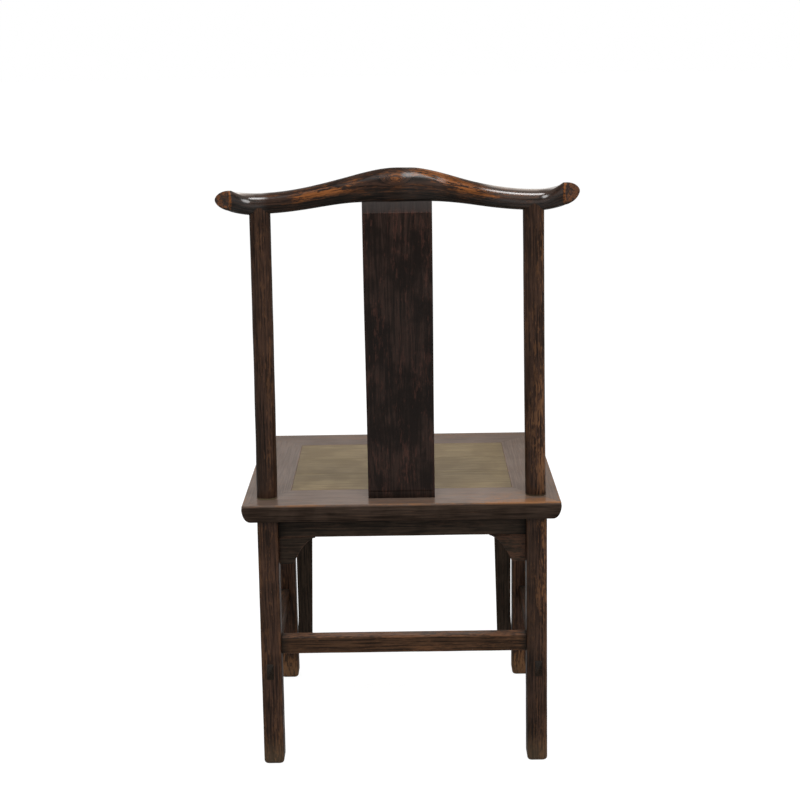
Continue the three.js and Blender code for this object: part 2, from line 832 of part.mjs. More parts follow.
function buildFootrest() {
  const height = [footrestHeight, footrestTop];
  const leg = frontLegAt(footrestTop);
  const face = leg.y - leg.half - footrestProud;
  const reach = leg.x - leg.half - fit;
  const middle = (footrestHeight + footrestTop) / 2;
  const rail = bar('x', [-reach, reach], [face, face + footrestDepth], height);
  const tenons = [LEFT, RIGHT].map((side) => tenonInto(`front_leg_${sideNames.get(side)}`, (grow) => block(
    [side * (reach - blindTenonLength), side * (reach + blindTenonLength)],
    [leg.y - leg.half + footrestTenonInset, leg.y + leg.half - footrestTenonInset],
    [middle - blindTenonThickness / 2, middle + blindTenonThickness / 2],
    grow,
  )));
  return [rail, ...tenons].reduce(joined);
}

// Assembly

const chair = new THREE.Group();
const back = new THREE.Group();
const seat = new THREE.Group();
const base = new THREE.Group();
chair.add(back, seat, base);

const pieces = [];

function addPiece(group, name, finish, solid) {
  pieces.push({ group, name, finish, solid });
}

addPiece(back, 'crest_rail', finishes.crest, crestSolid(0));
addPiece(back, 'back_splat', finishes.splat, buildSplat());
[LEFT, RIGHT].forEach((side) => {
  const name = sideNames.get(side);
  addPiece(back, `rear_leg_${name}`, finishes.post, buildRearLeg(side));
  addPiece(base, `front_leg_${name}`, finishes.post, buildFrontLeg(side));
  addPiece(seat, `seat_rail_${name}`, finishes.frame, buildSideRail(side));
  addPiece(seat, `seat_batten_${name}`, finishes.apron, buildBatten(side));
  addPiece(base, `${name}_stretcher`, finishes.stretcher, buildSideStretcher(side));
  addPiece(base, `front_jamb_${name}`, finishes.apron, buildJamb(side));
});
addPiece(seat, 'seat_rail_rear', finishes.frame, buildCrossRail(1));
addPiece(seat, 'seat_rail_front', finishes.frame, buildCrossRail(-1));
boardNames.forEach((name, index) => {
  addPiece(seat, name, finishes.panel, buildBoard(index));
});
[rearSide, lateralSide(LEFT), lateralSide(RIGHT)].forEach((place) => {
  addPiece(base, `${place.name}_apron`, finishes.apron, buildApron(place));
  place.legs.forEach((leg, end) => {
    const ending = place.run === 'x' ? leg.replace('rear_leg_', '') : leg.split('_leg_')[0];
    addPiece(base, `${place.name}_spandrel_${ending}`, finishes.apron, buildSpandrel(place, end));
  });
});
addPiece(base, 'front_apron', finishes.apron, buildFrontApron());
addPiece(base, 'rear_stretcher', finishes.stretcher, buildRearStretcher());
addPiece(base, 'front_footrest', finishes.stretcher, buildFootrest());

pieces.forEach(({ group, name, finish, solid }) => {
  const cut = (sockets.get(name) ?? []).reduce((rest, socket) => rest.subtract(socket), solid);
  const geometry = geometryFrom(cut);
  geometry.computeBoundingBox();
  const centre = geometry.boundingBox.getCenter(new THREE.Vector3());
  geometry.translate(-centre.x, -centre.y, -centre.z);
  geometry.computeVertexNormals();
  const material = new THREE.MeshStandardMaterial({ ...finish, metalness: 0 });
  const mesh = new THREE.Mesh(geometry, material);
  mesh.name = name;
  mesh.position.copy(centre);
  group.add(mesh);
});

// The origin lies on the floor, under the middle of the whole chair
const extent = new THREE.Box3().setFromObject(chair);
chair.position.y = -(extent.min.y + extent.max.y) / 2;
chair.updateMatrixWorld(true);

export default chair;
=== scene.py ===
"""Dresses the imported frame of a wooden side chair: old dark stain, worn arrises, a polished seat.

Metres, +Z up, the sitter faces -Y and +X is at the sitter's left hand. The camera stands behind the
chair, so +X is on the left of the picture. Each class below holds one sub-assembly or one finish.
"""
import logging
from dataclasses import dataclass
from enum import Enum
from functools import partial
from math import atan2, copysign, cos, exp, pi, radians, sin
from typing import Callable

import bpy
from bpy.types import Material, NodeTree, Object
from mathutils import Matrix, Vector, noise


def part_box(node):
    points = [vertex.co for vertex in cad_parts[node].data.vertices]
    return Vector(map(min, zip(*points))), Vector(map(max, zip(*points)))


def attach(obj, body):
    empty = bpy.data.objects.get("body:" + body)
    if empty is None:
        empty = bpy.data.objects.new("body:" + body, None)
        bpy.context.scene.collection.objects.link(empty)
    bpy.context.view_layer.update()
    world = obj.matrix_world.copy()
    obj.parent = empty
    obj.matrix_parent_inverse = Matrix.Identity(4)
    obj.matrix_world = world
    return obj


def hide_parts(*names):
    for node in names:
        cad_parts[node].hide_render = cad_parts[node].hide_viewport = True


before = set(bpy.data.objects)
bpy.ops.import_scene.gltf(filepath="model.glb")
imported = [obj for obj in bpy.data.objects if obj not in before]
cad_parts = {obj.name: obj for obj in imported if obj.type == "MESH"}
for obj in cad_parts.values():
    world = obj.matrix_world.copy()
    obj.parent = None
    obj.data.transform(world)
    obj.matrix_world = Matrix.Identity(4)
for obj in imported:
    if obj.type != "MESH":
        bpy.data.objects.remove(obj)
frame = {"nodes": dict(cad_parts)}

log = logging.getLogger("side_chair")

Colour = tuple[float, float, float]
Flat = tuple[float, float]
Outline = list[tuple[float, float, float]]
Amount = float | list[float]
Socket = bpy.types.NodeSocket
Sockets = bpy.types.bpy_prop_collection

BODY = "root"
SUFFIX = "_wood"
GRAIN = "grain"
EDGE = "edge"
# This attribute holds soiling in joints and at ends, and painted shade under the crest rail, on the rear
# legs' and posts' sides towards +x and under the seat frame.
GRIME_AND_SHADE = "grime"
BARE = "bare"
POLISH = "polish"
# This attribute holds dusting and old glue, and the painted reflection on the splat's top band.
DUST_AND_REFLECTION = "dust"
VALUES = (EDGE, GRIME_AND_SHADE, BARE, POLISH, DUST_AND_REFLECTION)

# For each axis, how many offsets into the grain there are and how far apart they lie, in metres
SHIFT_STEPS = ((17, 0.31), (13, 0.27), (23, 0.41))


class Side(Enum):
    """The sitter's left and right, as the sign of x."""

    LEFT = 1
    RIGHT = -1

    @property
    def label(self) -> str:
        """The word that names the side in a node."""
        return self.name.lower()


class Fibre(Enum):
    """Which way the fibres run in a board that stands on edge."""

    LEVEL = "level"
    UPRIGHT = "upright"


class Run(Enum):
    """Whether a standing board runs along x or along y."""

    ACROSS = "across"
    DEEP = "deep"


def lerp(a: float, b: float, share: float) -> float:
    """The value a share of the way from a to b."""
    return a + (b - a) * share


def smooth(share: float) -> float:
    """A share from 0 to 1, eased at both ends."""
    share = min(1.0, max(0.0, share))
    return share * share * (3.0 - 2.0 * share)


def spread(low: float, high: float, count: int) -> list[float]:
    """Evenly spaced values from low to high, both included."""
    return [lerp(low, high, i / (count - 1)) for i in range(count)]


def timber_shift(name: str) -> Vector:
    """A fixed offset into the grain pattern, so that no two timbers show the same figure."""
    total = sum(weight * ord(letter) for weight, letter in enumerate(name, start=3))
    return Vector([total % count * step for count, step in SHIFT_STEPS])


# Places that the sub-assemblies share

@dataclass(frozen=True)
class Plan:
    """Levels and faces of the seat, from which every other piece is placed."""

    seat_top: float
    frame_bottom: float
    seat_back: float
    seat_front: float
    seat_half: float
    bulge: float = 0.0006
    gap: float = 0.0003

    @classmethod
    def read(cls) -> "Plan":
        """Reads the seat's faces, in metres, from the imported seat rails."""
        low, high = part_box("seat_rail_rear")
        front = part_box("seat_rail_front")[0].y
        return cls(high.z, low.z, high.y - cls.bulge, front + cls.bulge, high.x - cls.bulge)

    @property
    def under_frame(self) -> float:
        """The height where the pieces that stand under the seat frame end."""
        return self.frame_bottom - self.gap


# Meshes

@dataclass
class Ring:
    """A closed ring of surface points round a timber, with what the finish needs to know of each."""

    points: list[Vector]
    grain: list[Vector]
    values: dict[str, list[float]]

    @classmethod
    def of(cls, points: list[Vector], grain: list[Vector], edge: list[float], grime: Amount = 0.0,
           bare: Amount = 0.0, polish: Amount = 1.0, dust: Amount = 0.0) -> "Ring":
        """Makes a ring; a value given as one number is the same all round.

        Args:
            points: places on the surface.
            grain: across, through and along the fibres, for each point.
            edge: 0 on a flat and 1 on an arris, for each point.
            grime: how much soiling has settled here, and how much painted shade is laid here, 0 to 1.
            bare: how far the stain is rubbed off here, 0 to 1.
            polish: how much of the finish's wax is left here, 0 to 1.
            dust: how much dry, pale dusting or old glue lies here, and on the splat's top band how much
                painted reflection, 0 to 1 and more.

        Returns:
            The ring.
        """
        values = {}
        for name, value in zip(VALUES, (edge, grime, bare, polish, dust)):
            values[name] = value if isinstance(value, list) else [value] * len(points)
        return cls(points, grain, values)


def placed(name: str, data: bpy.types.ID) -> Object:
    """Makes an object of a mesh, a lamp or a camera and links it to the scene."""
    thing = bpy.data.objects.new(name, data)
    bpy.context.scene.collection.objects.link(thing)
    return thing


def mesh_object(name: str, points: list[Vector], faces: list[list[int]], crease: float) -> Object:
    """Makes a closed mesh object with its faces pointing out.

    Args:
        name: the object's name.
        points: vertex places, in metres.
        faces: vertex numbers of each face, all turned the same way.
        crease: the angle, in degrees, above which an edge is drawn sharp.

    Returns:
        The object, linked to the scene.
    """
    volume = 0.0
    for face in faces:
        first = points[face[0]]
        for i in range(1, len(face) - 1):
            volume += first.dot(points[face[i]].cross(points[face[i + 1]]))
    if volume < 0:
        faces = [list(reversed(face)) for face in faces]
    mesh = bpy.data.meshes.new(name + SUFFIX)
    mesh.from_pydata([point[:] for point in points], [], faces)
    mesh.validate()
    mesh.polygons.foreach_set("use_smooth", [True] * len(mesh.polygons))
    mesh.set_sharp_from_angle(angle=radians(crease))
    return placed(name + SUFFIX, mesh)


def skin(name: str, rings: list[Ring], crease: float = 38.0) -> Object:
    """Joins rings of equal count into one closed timber, with flat ends.

    Args:
        name: the object's name.
        rings: from one end to the other.
        crease: the angle, in degrees, above which an edge is drawn sharp.

    Returns:
        The timber, with its grain coordinates and the five values of its wear, painted shade and painted
        reflection stored on its vertices.
    """
    count = len(rings[0].points)
    faces = []
    for r in range(len(rings) - 1):
        for i in range(count):
            here, there = r * count + i, r * count + (i + 1) % count
            faces.append([here, there, there + count, here + count])
    faces.append(list(reversed(range(count))))
    faces.append(list(range((len(rings) - 1) * count, len(rings) * count)))
    points = [point for ring in rings for point in ring.points]
    timber = mesh_object(name, points, faces, crease)
    shift = timber_shift(name)
    layer = timber.data.attributes.new(GRAIN, "FLOAT_VECTOR", "POINT")
    layer.data.foreach_set("vector", [part for ring in rings for g in ring.grain for part in g + shift])
    for value in VALUES:
        layer = timber.data.attributes.new(value, "FLOAT", "POINT")
        layer.data.foreach_set("value", [number for ring in rings for number in ring.values[value]])
    return timber


# Outlines: points as (u, v, edge)

TINY = 1e-5  # keeps the points of a narrow border apart, in metres
ARC_END_EDGE = 0.65  # the edge value at both ends of a rounded corner, which is 1 in its middle
CORNER_STEPS = 4  # faces round a rounded corner
SQUARE_EDGE = 0.4  # the edge value that an oval's shoulders gain with each step of squareness past round
SHARP_TURN = 26.0  # a corner that turns further than this, in degrees, is rounded
ROUNDED_SHARE = 0.3  # the most of a side that one corner's rounding takes
BORDERED_SHARE = 0.45  # the most of a side that one corner's rounding and border take
ROUNDING_SHARES = (0.0, 0.33, 0.67, 1.0)  # where the points of a rounding lie
LEAST_MITRE = 0.4  # holds back the points of an inset outline where it turns sharply


def rounded_square(half_u: float, half_v: float, radius: float, border: float) -> Outline:
    """A rectangle with rounded corners and a narrow border beside each, where the wear fades out.

    Args:
        half_u: half its width.
        half_v: half its height.
        radius: of the corners.
        border: how far from a corner the edge value reaches 0.

    Returns:
        The outline, anticlockwise from the right-hand side.
    """
    outline: Outline = []
    reach_u = min(border, half_u - radius - TINY)
    reach_v = min(border, half_v - radius - TINY)
    for quarter, (su, sv) in enumerate(((1, 1), (-1, 1), (-1, -1), (1, -1))):
        lead = (su * half_u, sv * (half_v - radius - reach_v), 0.0)
        trail = (su * (half_u - radius - reach_u), sv * half_v, 0.0)
        arc = []
        for i in range(CORNER_STEPS + 1):
            angle = pi / 2 * (quarter + i / CORNER_STEPS)
            u = su * (half_u - radius) + radius * cos(angle)
            v = sv * (half_v - radius) + radius * sin(angle)
            arc.append((u, v, lerp(ARC_END_EDGE, 1.0, sin(pi * i / CORNER_STEPS))))
        outline += [lead, *arc, trail] if quarter % 2 == 0 else [trail, *arc, lead]
    return outline


def oval(half_u: float, half_v: float, squareness: float, sides: int) -> Outline:
    """A superellipse: squareness 2 is round, and more is squarer.

    Args:
        half_u: half its width.
        half_v: half its height.
        squareness: the superellipse's power.
        sides: how many points it has.

    Returns:
        The outline, anticlockwise.
    """
    outline: Outline = []
    for i in range(sides):
        angle = 2 * pi * i / sides
        c, s = cos(angle), sin(angle)
        u = half_u * copysign(abs(c) ** (2 / squareness), c)
        v = half_v * copysign(abs(s) ** (2 / squareness), s)
        outline.append((u, v, SQUARE_EDGE * abs(sin(2 * angle)) * max(0.0, squareness - 2)))
    return outline


def turned(before: Flat, here: Flat, after: Flat) -> float:
    """How far a path turns at a corner, in radians from 0 to pi."""
    a, b = (atan2(q[1] - p[1], q[0] - p[0]) for p, q in ((before, here), (here, after)))
    return abs((b - a + pi) % (2 * pi) - pi)


def eased(corners: list[Flat], radius: float, border: float) -> Outline:
    """Rounds each sharp corner of an outline and puts a border point on either side of it.

    Args:
        corners: the outline's points, in order.
        radius: how far from the corner the rounding starts.
        border: how far past that the edge value fades to 0.

    Returns:
        The eased outline, in the same order.
    """
    outline: Outline = []
    for i, here in enumerate(corners):
        before, after = corners[i - 1], corners[(i + 1) % len(corners)]
        if turned(before, here, after) < radians(SHARP_TURN):
            outline.append((*here, 0.0))
            continue
        spot = Vector(here)
        back, ahead = Vector(before) - spot, Vector(after) - spot
        start = spot + back.normalized() * min(radius, back.length * ROUNDED_SHARE)
        end = spot + ahead.normalized() * min(radius, ahead.length * ROUNDED_SHARE)
        lead = spot + back.normalized() * min(radius + border, back.length * BORDERED_SHARE)
        trail = spot + ahead.normalized() * min(radius + border, ahead.length * BORDERED_SHARE)
        outline.append((*lead, 0.0))
        for share in ROUNDING_SHARES:
            point = start.lerp(spot, share).lerp(spot.lerp(end, share), share)
            outline.append((*point, 1.0))
        outline.append((*trail, 0.0))
    return outline


def inset(outline: Outline, by: float) -> list[Flat]:
    """Draws an outline in by a small distance, square to each of its sides.

    Args:
        outline: the closed outline.
        by: the distance, in metres.

    Returns:
        The new places of its points.
    """
    area = sum(a[0] * b[1] - b[0] * a[1] for a, b in zip(outline, outline[1:] + outline[:1]))
    inward = 1.0 if area > 0 else -1.0
    drawn = []
    for i, here in enumerate(outline):
        before, after = outline[i - 1], outline[(i + 1) % len(outline)]
        a = Vector((here[0] - before[0], here[1] - before[1])).normalized()
        b = Vector((after[0] - here[0], after[1] - here[1])).normalized()
        side = (Vector((-(a.y + b.y), a.x + b.x)) * inward).normalized()
        square = Vector((-a.y, a.x)) * inward
        mitre = max(LEAST_MITRE, side.dot(square))
        drawn.append((here[0] + side.x * by / mitre, here[1] + side.y * by / mitre))
    return drawn


@dataclass(frozen=True)
class StandingBoard:
    """A flat board on edge, cut to an outline, with all its arrises eased."""

    run: Run
    fibre: Fibre
    near: float
    far: float
    ease: float = 0.0016
    rounding: float = 0.0009
    border: float = 0.001
    turn_share: float = 0.3
    turn_edge: float = 0.75

    def build(self, name: str, corners: list[Flat], bare: float = 0.0) -> Object:
        """Makes the board.

        Args:
            name: the node that it stands for.
            corners: the outline, as (along, z).
            bare: how far the stain is rubbed off its faces, 0 to 1.

        Returns:
            The board.
        """
        outline = eased(corners, self.ease, self.border)
        turn = self.turn_share * self.rounding
        turns = [(self.border, 0.0, 0.0), (self.rounding, 0.0, self.turn_edge), (turn, turn, 1.0),
                 (0.0, self.rounding, self.turn_edge), (0.0, self.border, 0.0)]
        near = [(self.near + depth, drawn, edge) for depth, drawn, edge in reversed(turns)]
        far = [(self.far - depth, drawn, edge) for depth, drawn, edge in turns]
        across, level = self.run is Run.ACROSS, self.fibre is Fibre.LEVEL
        rings = []
        for through, drawn, edge in near + far:
            flat = inset(outline, drawn) if drawn else [(s, z) for s, z, _ in outline]
            points = [Vector((s, through, z)) if across else Vector((through, s, z)) for s, z in flat]
            grain = [Vector((z, through, s)) if level else Vector((s, through, z)) for s, z in flat]
            edges = [max(edge, own if drawn < self.border else 0.0) for _, _, own in outline]
            rings.append(Ring.of(points, grain, edges, bare=bare))
        return skin(name, rings)


# Nodes: a desk to lay them on, and the Geometry Nodes tree that draws every straight timber

class NodeDesk:
    """Adds nodes to a tree and wires them, so that a tree reads as a list of steps."""

    def __init__(self, tree: NodeTree) -> None:
        """Works on an empty tree."""
        self.tree = tree

    @classmethod
    def on(cls, owner: Material | bpy.types.World) -> "NodeDesk":
        """Switches on the nodes of a material or a world and clears them."""
        owner.use_nodes = True
        owner.node_tree.nodes.clear()
        return cls(owner.node_tree)

    def put(self, kind: str, settings: dict | None = None, **inputs: object) -> bpy.types.Node:
        """Adds one node.

        Args:
            kind: the node's type.
            settings: its properties, by name.
            **inputs: its sockets by name, with _ for a space, as a value or another node's socket.

        Returns:
            The node.
        """
        node = self.tree.nodes.new(kind)
        for key, value in (settings or {}).items():
            setattr(node, key, value)
        for key, value in inputs.items():
            self.feed(node.inputs[key.replace("_", " ")], value)
        return node

    def feed(self, socket: Socket, value: object) -> None:
        """Gives a socket its value.

        Args:
            socket: the input socket.
            value: a plain value, or another node's socket to wire into it.
        """
        if isinstance(value, Socket):
            self.tree.links.new(value, socket)
        else:
            socket.default_value = value

    def math(self, operation: str, a: object, b: object = 0.0) -> Socket:
        """Works out one number.

        Args:
            operation: the Math node's operation.
            a: the first number or socket.
            b: the second one.

        Returns:
            The result.
        """
        node = self.put("ShaderNodeMath", {"operation": operation})
        for socket, value in zip(node.inputs, (a, b)):
            self.feed(socket, value)
        return node.outputs[0]

    def vector(self, operation: str, a: object, b: object = None) -> Socket:
        """Works out one vector, or a dot product or length.

        Args:
            operation: the Vector Math node's operation.
            a: the first vector or socket.
            b: the second one, where the operation has one, or the number that SCALE multiplies by.

        Returns:
            The result.
        """
        node = self.put("ShaderNodeVectorMath", {"operation": operation})
        self.feed(node.inputs[0], a)
        if b is not None:
            self.feed(node.inputs["Scale" if operation == "SCALE" else 1], b)
        return node.outputs["Value" if operation in {"DOT_PRODUCT", "LENGTH"} else "Vector"]

    def ramp(self, value: object, low: float, high: float, to_low: float = 0.0,
             to_high: float = 1.0) -> Socket:
        """Carries a value smoothly from one span to another, and holds it at the ends.

        Args:
            value: the number or socket.
            low: where the span starts.
            high: where it ends.
            to_low: the result at its start.
            to_high: the result at its end.

        Returns:
            The result.
        """
        node = self.put("ShaderNodeMapRange", {"interpolation_type": "SMOOTHSTEP"}, Value=value)
        for key, number in (("From Min", low), ("From Max", high), ("To Min", to_low), ("To Max", to_high)):
            self.feed(node.inputs[key], number)
        return node.outputs["Result"]

    def times(self, a: object, b: object) -> Socket:
        """Multiplies two numbers or sockets."""
        return self.math("MULTIPLY", a, b)

    def read(self, name: str, output: str = "Fac") -> Socket:
        """A value stored on the timber's vertices."""
        return self.put("ShaderNodeAttribute", {"attribute_name": name}).outputs[output]

    def group(self, tree: NodeTree, **inputs: object) -> Sockets:
        """Places a shared group and gives its outputs."""
        return self.put("ShaderNodeGroup", {"node_tree": tree}, **inputs).outputs

    def noise(self, grain: Socket, cells: Colour, detail: float, roughness: float = 0.5) -> Sockets:
        """Noise with so many cells to a metre across, through and along the fibres."""
        return self.put("ShaderNodeTexNoise", Vector=self.vector("MULTIPLY", grain, cells), Scale=1.0,
                        Detail=detail, Roughness=roughness).outputs

    def total(self, values: tuple[Socket, ...], weights: tuple[float, ...]) -> Socket:
        """Adds up numbers, each multiplied by its weight.

        Args:
            values: the sockets.
            weights: one for each socket.

        Returns:
            The sum.
        """
        total, *rest = [self.times(value, weight) for value, weight in zip(values, weights)]
        for part in rest:
            total = self.math("ADD", total, part)
        return total

    def mix(self, share: object, first: object, second: object) -> Socket:
        """Mixes two colours.

        Args:
            share: how far the result lies from the first towards the second, 0 to 1.
            first: a colour or a socket.
            second: a colour or a socket.

        Returns:
            The colour.
        """
        node = self.put("ShaderNodeMix", {"data_type": "RGBA"})
        inputs = {socket.identifier: socket for socket in node.inputs}
        self.feed(inputs["Factor_Float"], share)
        for key, value in (("A_Color", first), ("B_Color", second)):
            self.feed(inputs[key], (*value, 1.0) if isinstance(value, tuple) else value)
        return next(socket for socket in node.outputs if socket.identifier == "Result_Color")


class BarTree:
    """A Geometry Nodes tree for a straight timber with eased edges, drawn from its ends and section.

    Lengths are in metres: how far apart the sections and their points lie, and how far from an arris or
    an end the wear and the soiling of the joints reach. The plane left SWAY_CELLS waves to a metre.
    """

    STATION = 0.014
    PROFILE_STEP = 0.0011
    ARC_STEPS = 6
    WEAR_REACH = 0.0034
    GRIME_REACH = 0.006
    TOP_DUST = 0.3
    SWAY_CELLS = 26.0
    CREASE = 40.0
    UP = (0.0, 0.0, 1.0)

    def __init__(self) -> None:
        """Builds the tree once."""
        self.tree = bpy.data.node_groups.new("planed_bar", "GeometryNodeTree")
        self.tree.is_modifier = True
        face = self.tree.interface
        face.new_socket("Geometry", in_out="INPUT", socket_type="NodeSocketGeometry")
        for name in ("Start", "End", "Shift"):
            face.new_socket(name, in_out="INPUT", socket_type="NodeSocketVector")
        for name in ("Width", "Height", "Rounding", "Wobble", "Top Wear", "End Grime"):
            face.new_socket(name, in_out="INPUT", socket_type="NodeSocketFloat")
        face.new_socket("Finish", in_out="INPUT", socket_type="NodeSocketMaterial")
        face.new_socket("Geometry", in_out="OUTPUT", socket_type="NodeSocketGeometry")
        self._wire()

    def _wire(self) -> None:
        """Lays the nodes: the swept section, its stored values, the plane's wobble and the finish."""
        desk = NodeDesk(self.tree)
        given = desk.put("NodeGroupInput").outputs
        swept = self._sweep(desk, given)
        offset = desk.vector("SUBTRACT", desk.put("GeometryNodeInputPosition").outputs[0], given["Start"])
        whole = desk.vector("SUBTRACT", given["End"], given["Start"])
        along_axis = desk.vector("NORMALIZE", whole)
        side_axis = desk.vector("CROSS_PRODUCT", along_axis, self.UP)
        along = desk.vector("DOT_PRODUCT", offset, along_axis)
        across = desk.vector("DOT_PRODUCT", offset, side_axis)
        up = desk.vector("DOT_PRODUCT", offset, self.UP)
        coordinates = desk.put("ShaderNodeCombineXYZ", X=across, Y=up, Z=along).outputs[0]
        grain = desk.vector("ADD", coordinates, given["Shift"])
        from_side, from_top = (
            desk.math("SUBTRACT", desk.times(given[size], 0.5), desk.math("ABSOLUTE", place))
            for size, place in (("Width", across), ("Height", up)))
        edge = desk.ramp(desk.math("MAXIMUM", from_side, from_top), 0.0, self.WEAR_REACH, 1.0, 0.0)
        to_end = desk.math("SUBTRACT", desk.vector("LENGTH", whole), along)
        near_end = desk.ramp(desk.math("MINIMUM", along, to_end), 0.0, self.GRIME_REACH, 1.0, 0.0)
        top_face = desk.times(desk.ramp(from_top, 0.0, self.WEAR_REACH, 1.0, 0.0),
                              desk.math("GREATER_THAN", up, 0.0))
        stored = swept
        for name, kind, value in (
            (GRAIN, "FLOAT_VECTOR", grain),
            (EDGE, "FLOAT", edge),
            (GRIME_AND_SHADE, "FLOAT", desk.times(given["End Grime"], near_end)),
            (BARE, "FLOAT", desk.times(top_face, given["Top Wear"])),
            (POLISH, "FLOAT", 1.0),
            (DUST_AND_REFLECTION, "FLOAT", desk.times(top_face, self.TOP_DUST)),
        ):
            stored = desk.put("GeometryNodeStoreNamedAttribute", {"data_type": kind, "domain": "POINT"},
                              Geometry=stored, Name=name, Value=value).outputs[0]
        sway = desk.put("ShaderNodeTexNoise", {"noise_dimensions": "3D"}, Vector=grain, Scale=self.SWAY_CELLS,
                        Detail=1.0).outputs[0]
        lift = desk.times(desk.math("SUBTRACT", sway, 0.5), given["Wobble"])
        normal = desk.put("GeometryNodeInputNormal").outputs[0]
        planed = desk.put("GeometryNodeSetPosition", Geometry=stored,
                          Offset=desk.vector("SCALE", normal, lift))
        shaded = desk.put("GeometryNodeSetShadeSmooth", Geometry=planed.outputs[0])
        real = desk.put("GeometryNodeRealizeInstances", Geometry=shaded.outputs[0])
        dressed = desk.put("GeometryNodeSetMaterial", Geometry=real.outputs[0], Material=given["Finish"])
        desk.put("NodeGroupOutput", Geometry=dressed.outputs[0])

    def _sweep(self, desk: NodeDesk, given: Sockets) -> Socket:
        """Draws the eased section and sweeps it from the timber's start to its end.

        Args:
            desk: where the nodes go.
            given: the tree's inputs.

        Returns:
            The swept timber, closed at both ends.
        """
        line = desk.put("GeometryNodeCurvePrimitiveLine", Start=given["Start"], End=given["End"])
        path = desk.put("GeometryNodeResampleCurve", {"mode": "LENGTH"}, Curve=line.outputs[0],
                        Length=self.STATION)
        level = desk.put("GeometryNodeSetCurveNormal", {"mode": "Z_UP"}, Curve=path.outputs[0])
        section = desk.put("GeometryNodeCurvePrimitiveQuadrilateral", Width=given["Width"],
                           Height=given["Height"])
        rounded = desk.put("GeometryNodeFilletCurve", {"mode": "POLY"}, Curve=section.outputs[0],
                           Count=self.ARC_STEPS, Radius=given["Rounding"])
        fine = desk.put("GeometryNodeResampleCurve", {"mode": "LENGTH"}, Curve=rounded.outputs[0],
                        Length=self.PROFILE_STEP)
        return desk.put("GeometryNodeCurveToMesh", Curve=level.outputs[0], Profile_Curve=fine.outputs[0],
                        Fill_Caps=True).outputs[0]

    def bar(self, name: str, start: Vector, end: Vector, section: Flat, rounding: float,
            finish: Material, top_wear: float = 0.0, wobble: float = 0.0006,
            end_grime: float = 1.0) -> Object:
        """Draws one timber and turns it into a plain mesh.

        Args:
            name: the piece's name.
            start: the middle of its first end.
            end: the middle of its other end.
            section: its width and height.
            rounding: how far its edges are rounded.
            finish: its material.
            top_wear: how far the stain is rubbed off its top face, 0 to 1.
            wobble: how far the hand plane left its faces from flat.
            end_grime: how dark the soiling is in the joints at its ends, 0 to 1.

        Returns:
            The timber, at the origin, with no modifier on it.
        """
        values = {"Start": start, "End": end, "Shift": timber_shift(name), "Width": section[0],
                  "Height": section[1], "Rounding": rounding, "Wobble": wobble, "Top Wear": top_wear,
                  "End Grime": end_grime, "Finish": finish}
        seed = placed(name + "_seed", bpy.data.meshes.new(name + "_seed"))
        modifier = seed.modifiers.new("bar", "NODES")
        modifier.node_group = self.tree
        for item in self.tree.interface.items_tree:
            if item.in_out == "INPUT" and item.name in values:
                modifier[item.identifier] = values[item.name]
        seed.update_tag()
        graph = bpy.context.evaluated_depsgraph_get()
        mesh = bpy.data.meshes.new_from_object(seed.evaluated_get(graph), preserve_all_data_layers=True,
                                               depsgraph=graph)
        mesh.name = name + SUFFIX
        bpy.data.objects.remove(seed)
        mesh.set_sharp_from_angle(angle=radians(self.CREASE))
        return placed(name + SUFFIX, mesh)


# Shader groups: effects that every finish shares

def group_tree(name: str, numbers: list[str], results: list[str]) -> NodeTree:
    """Starts a shader group that works from the grain coordinates.

    Args:
        name: the group's name.
        numbers: names of the numbers that it also takes.
        results: names of the numbers that it puts out.

    Returns:
        The group's tree, with no nodes yet.
    """
    tree = bpy.data.node_groups.new(name, "ShaderNodeTree")
    tree.interface.new_socket("Grain", in_out="INPUT", socket_type="NodeSocketVector")
    for label in numbers:
        tree.interface.new_socket(label, in_out="INPUT", socket_type="NodeSocketFloat")
    for label in results:
        tree.interface.new_socket(label, in_out="OUTPUT", socket_type="NodeSocketFloat")
    return tree


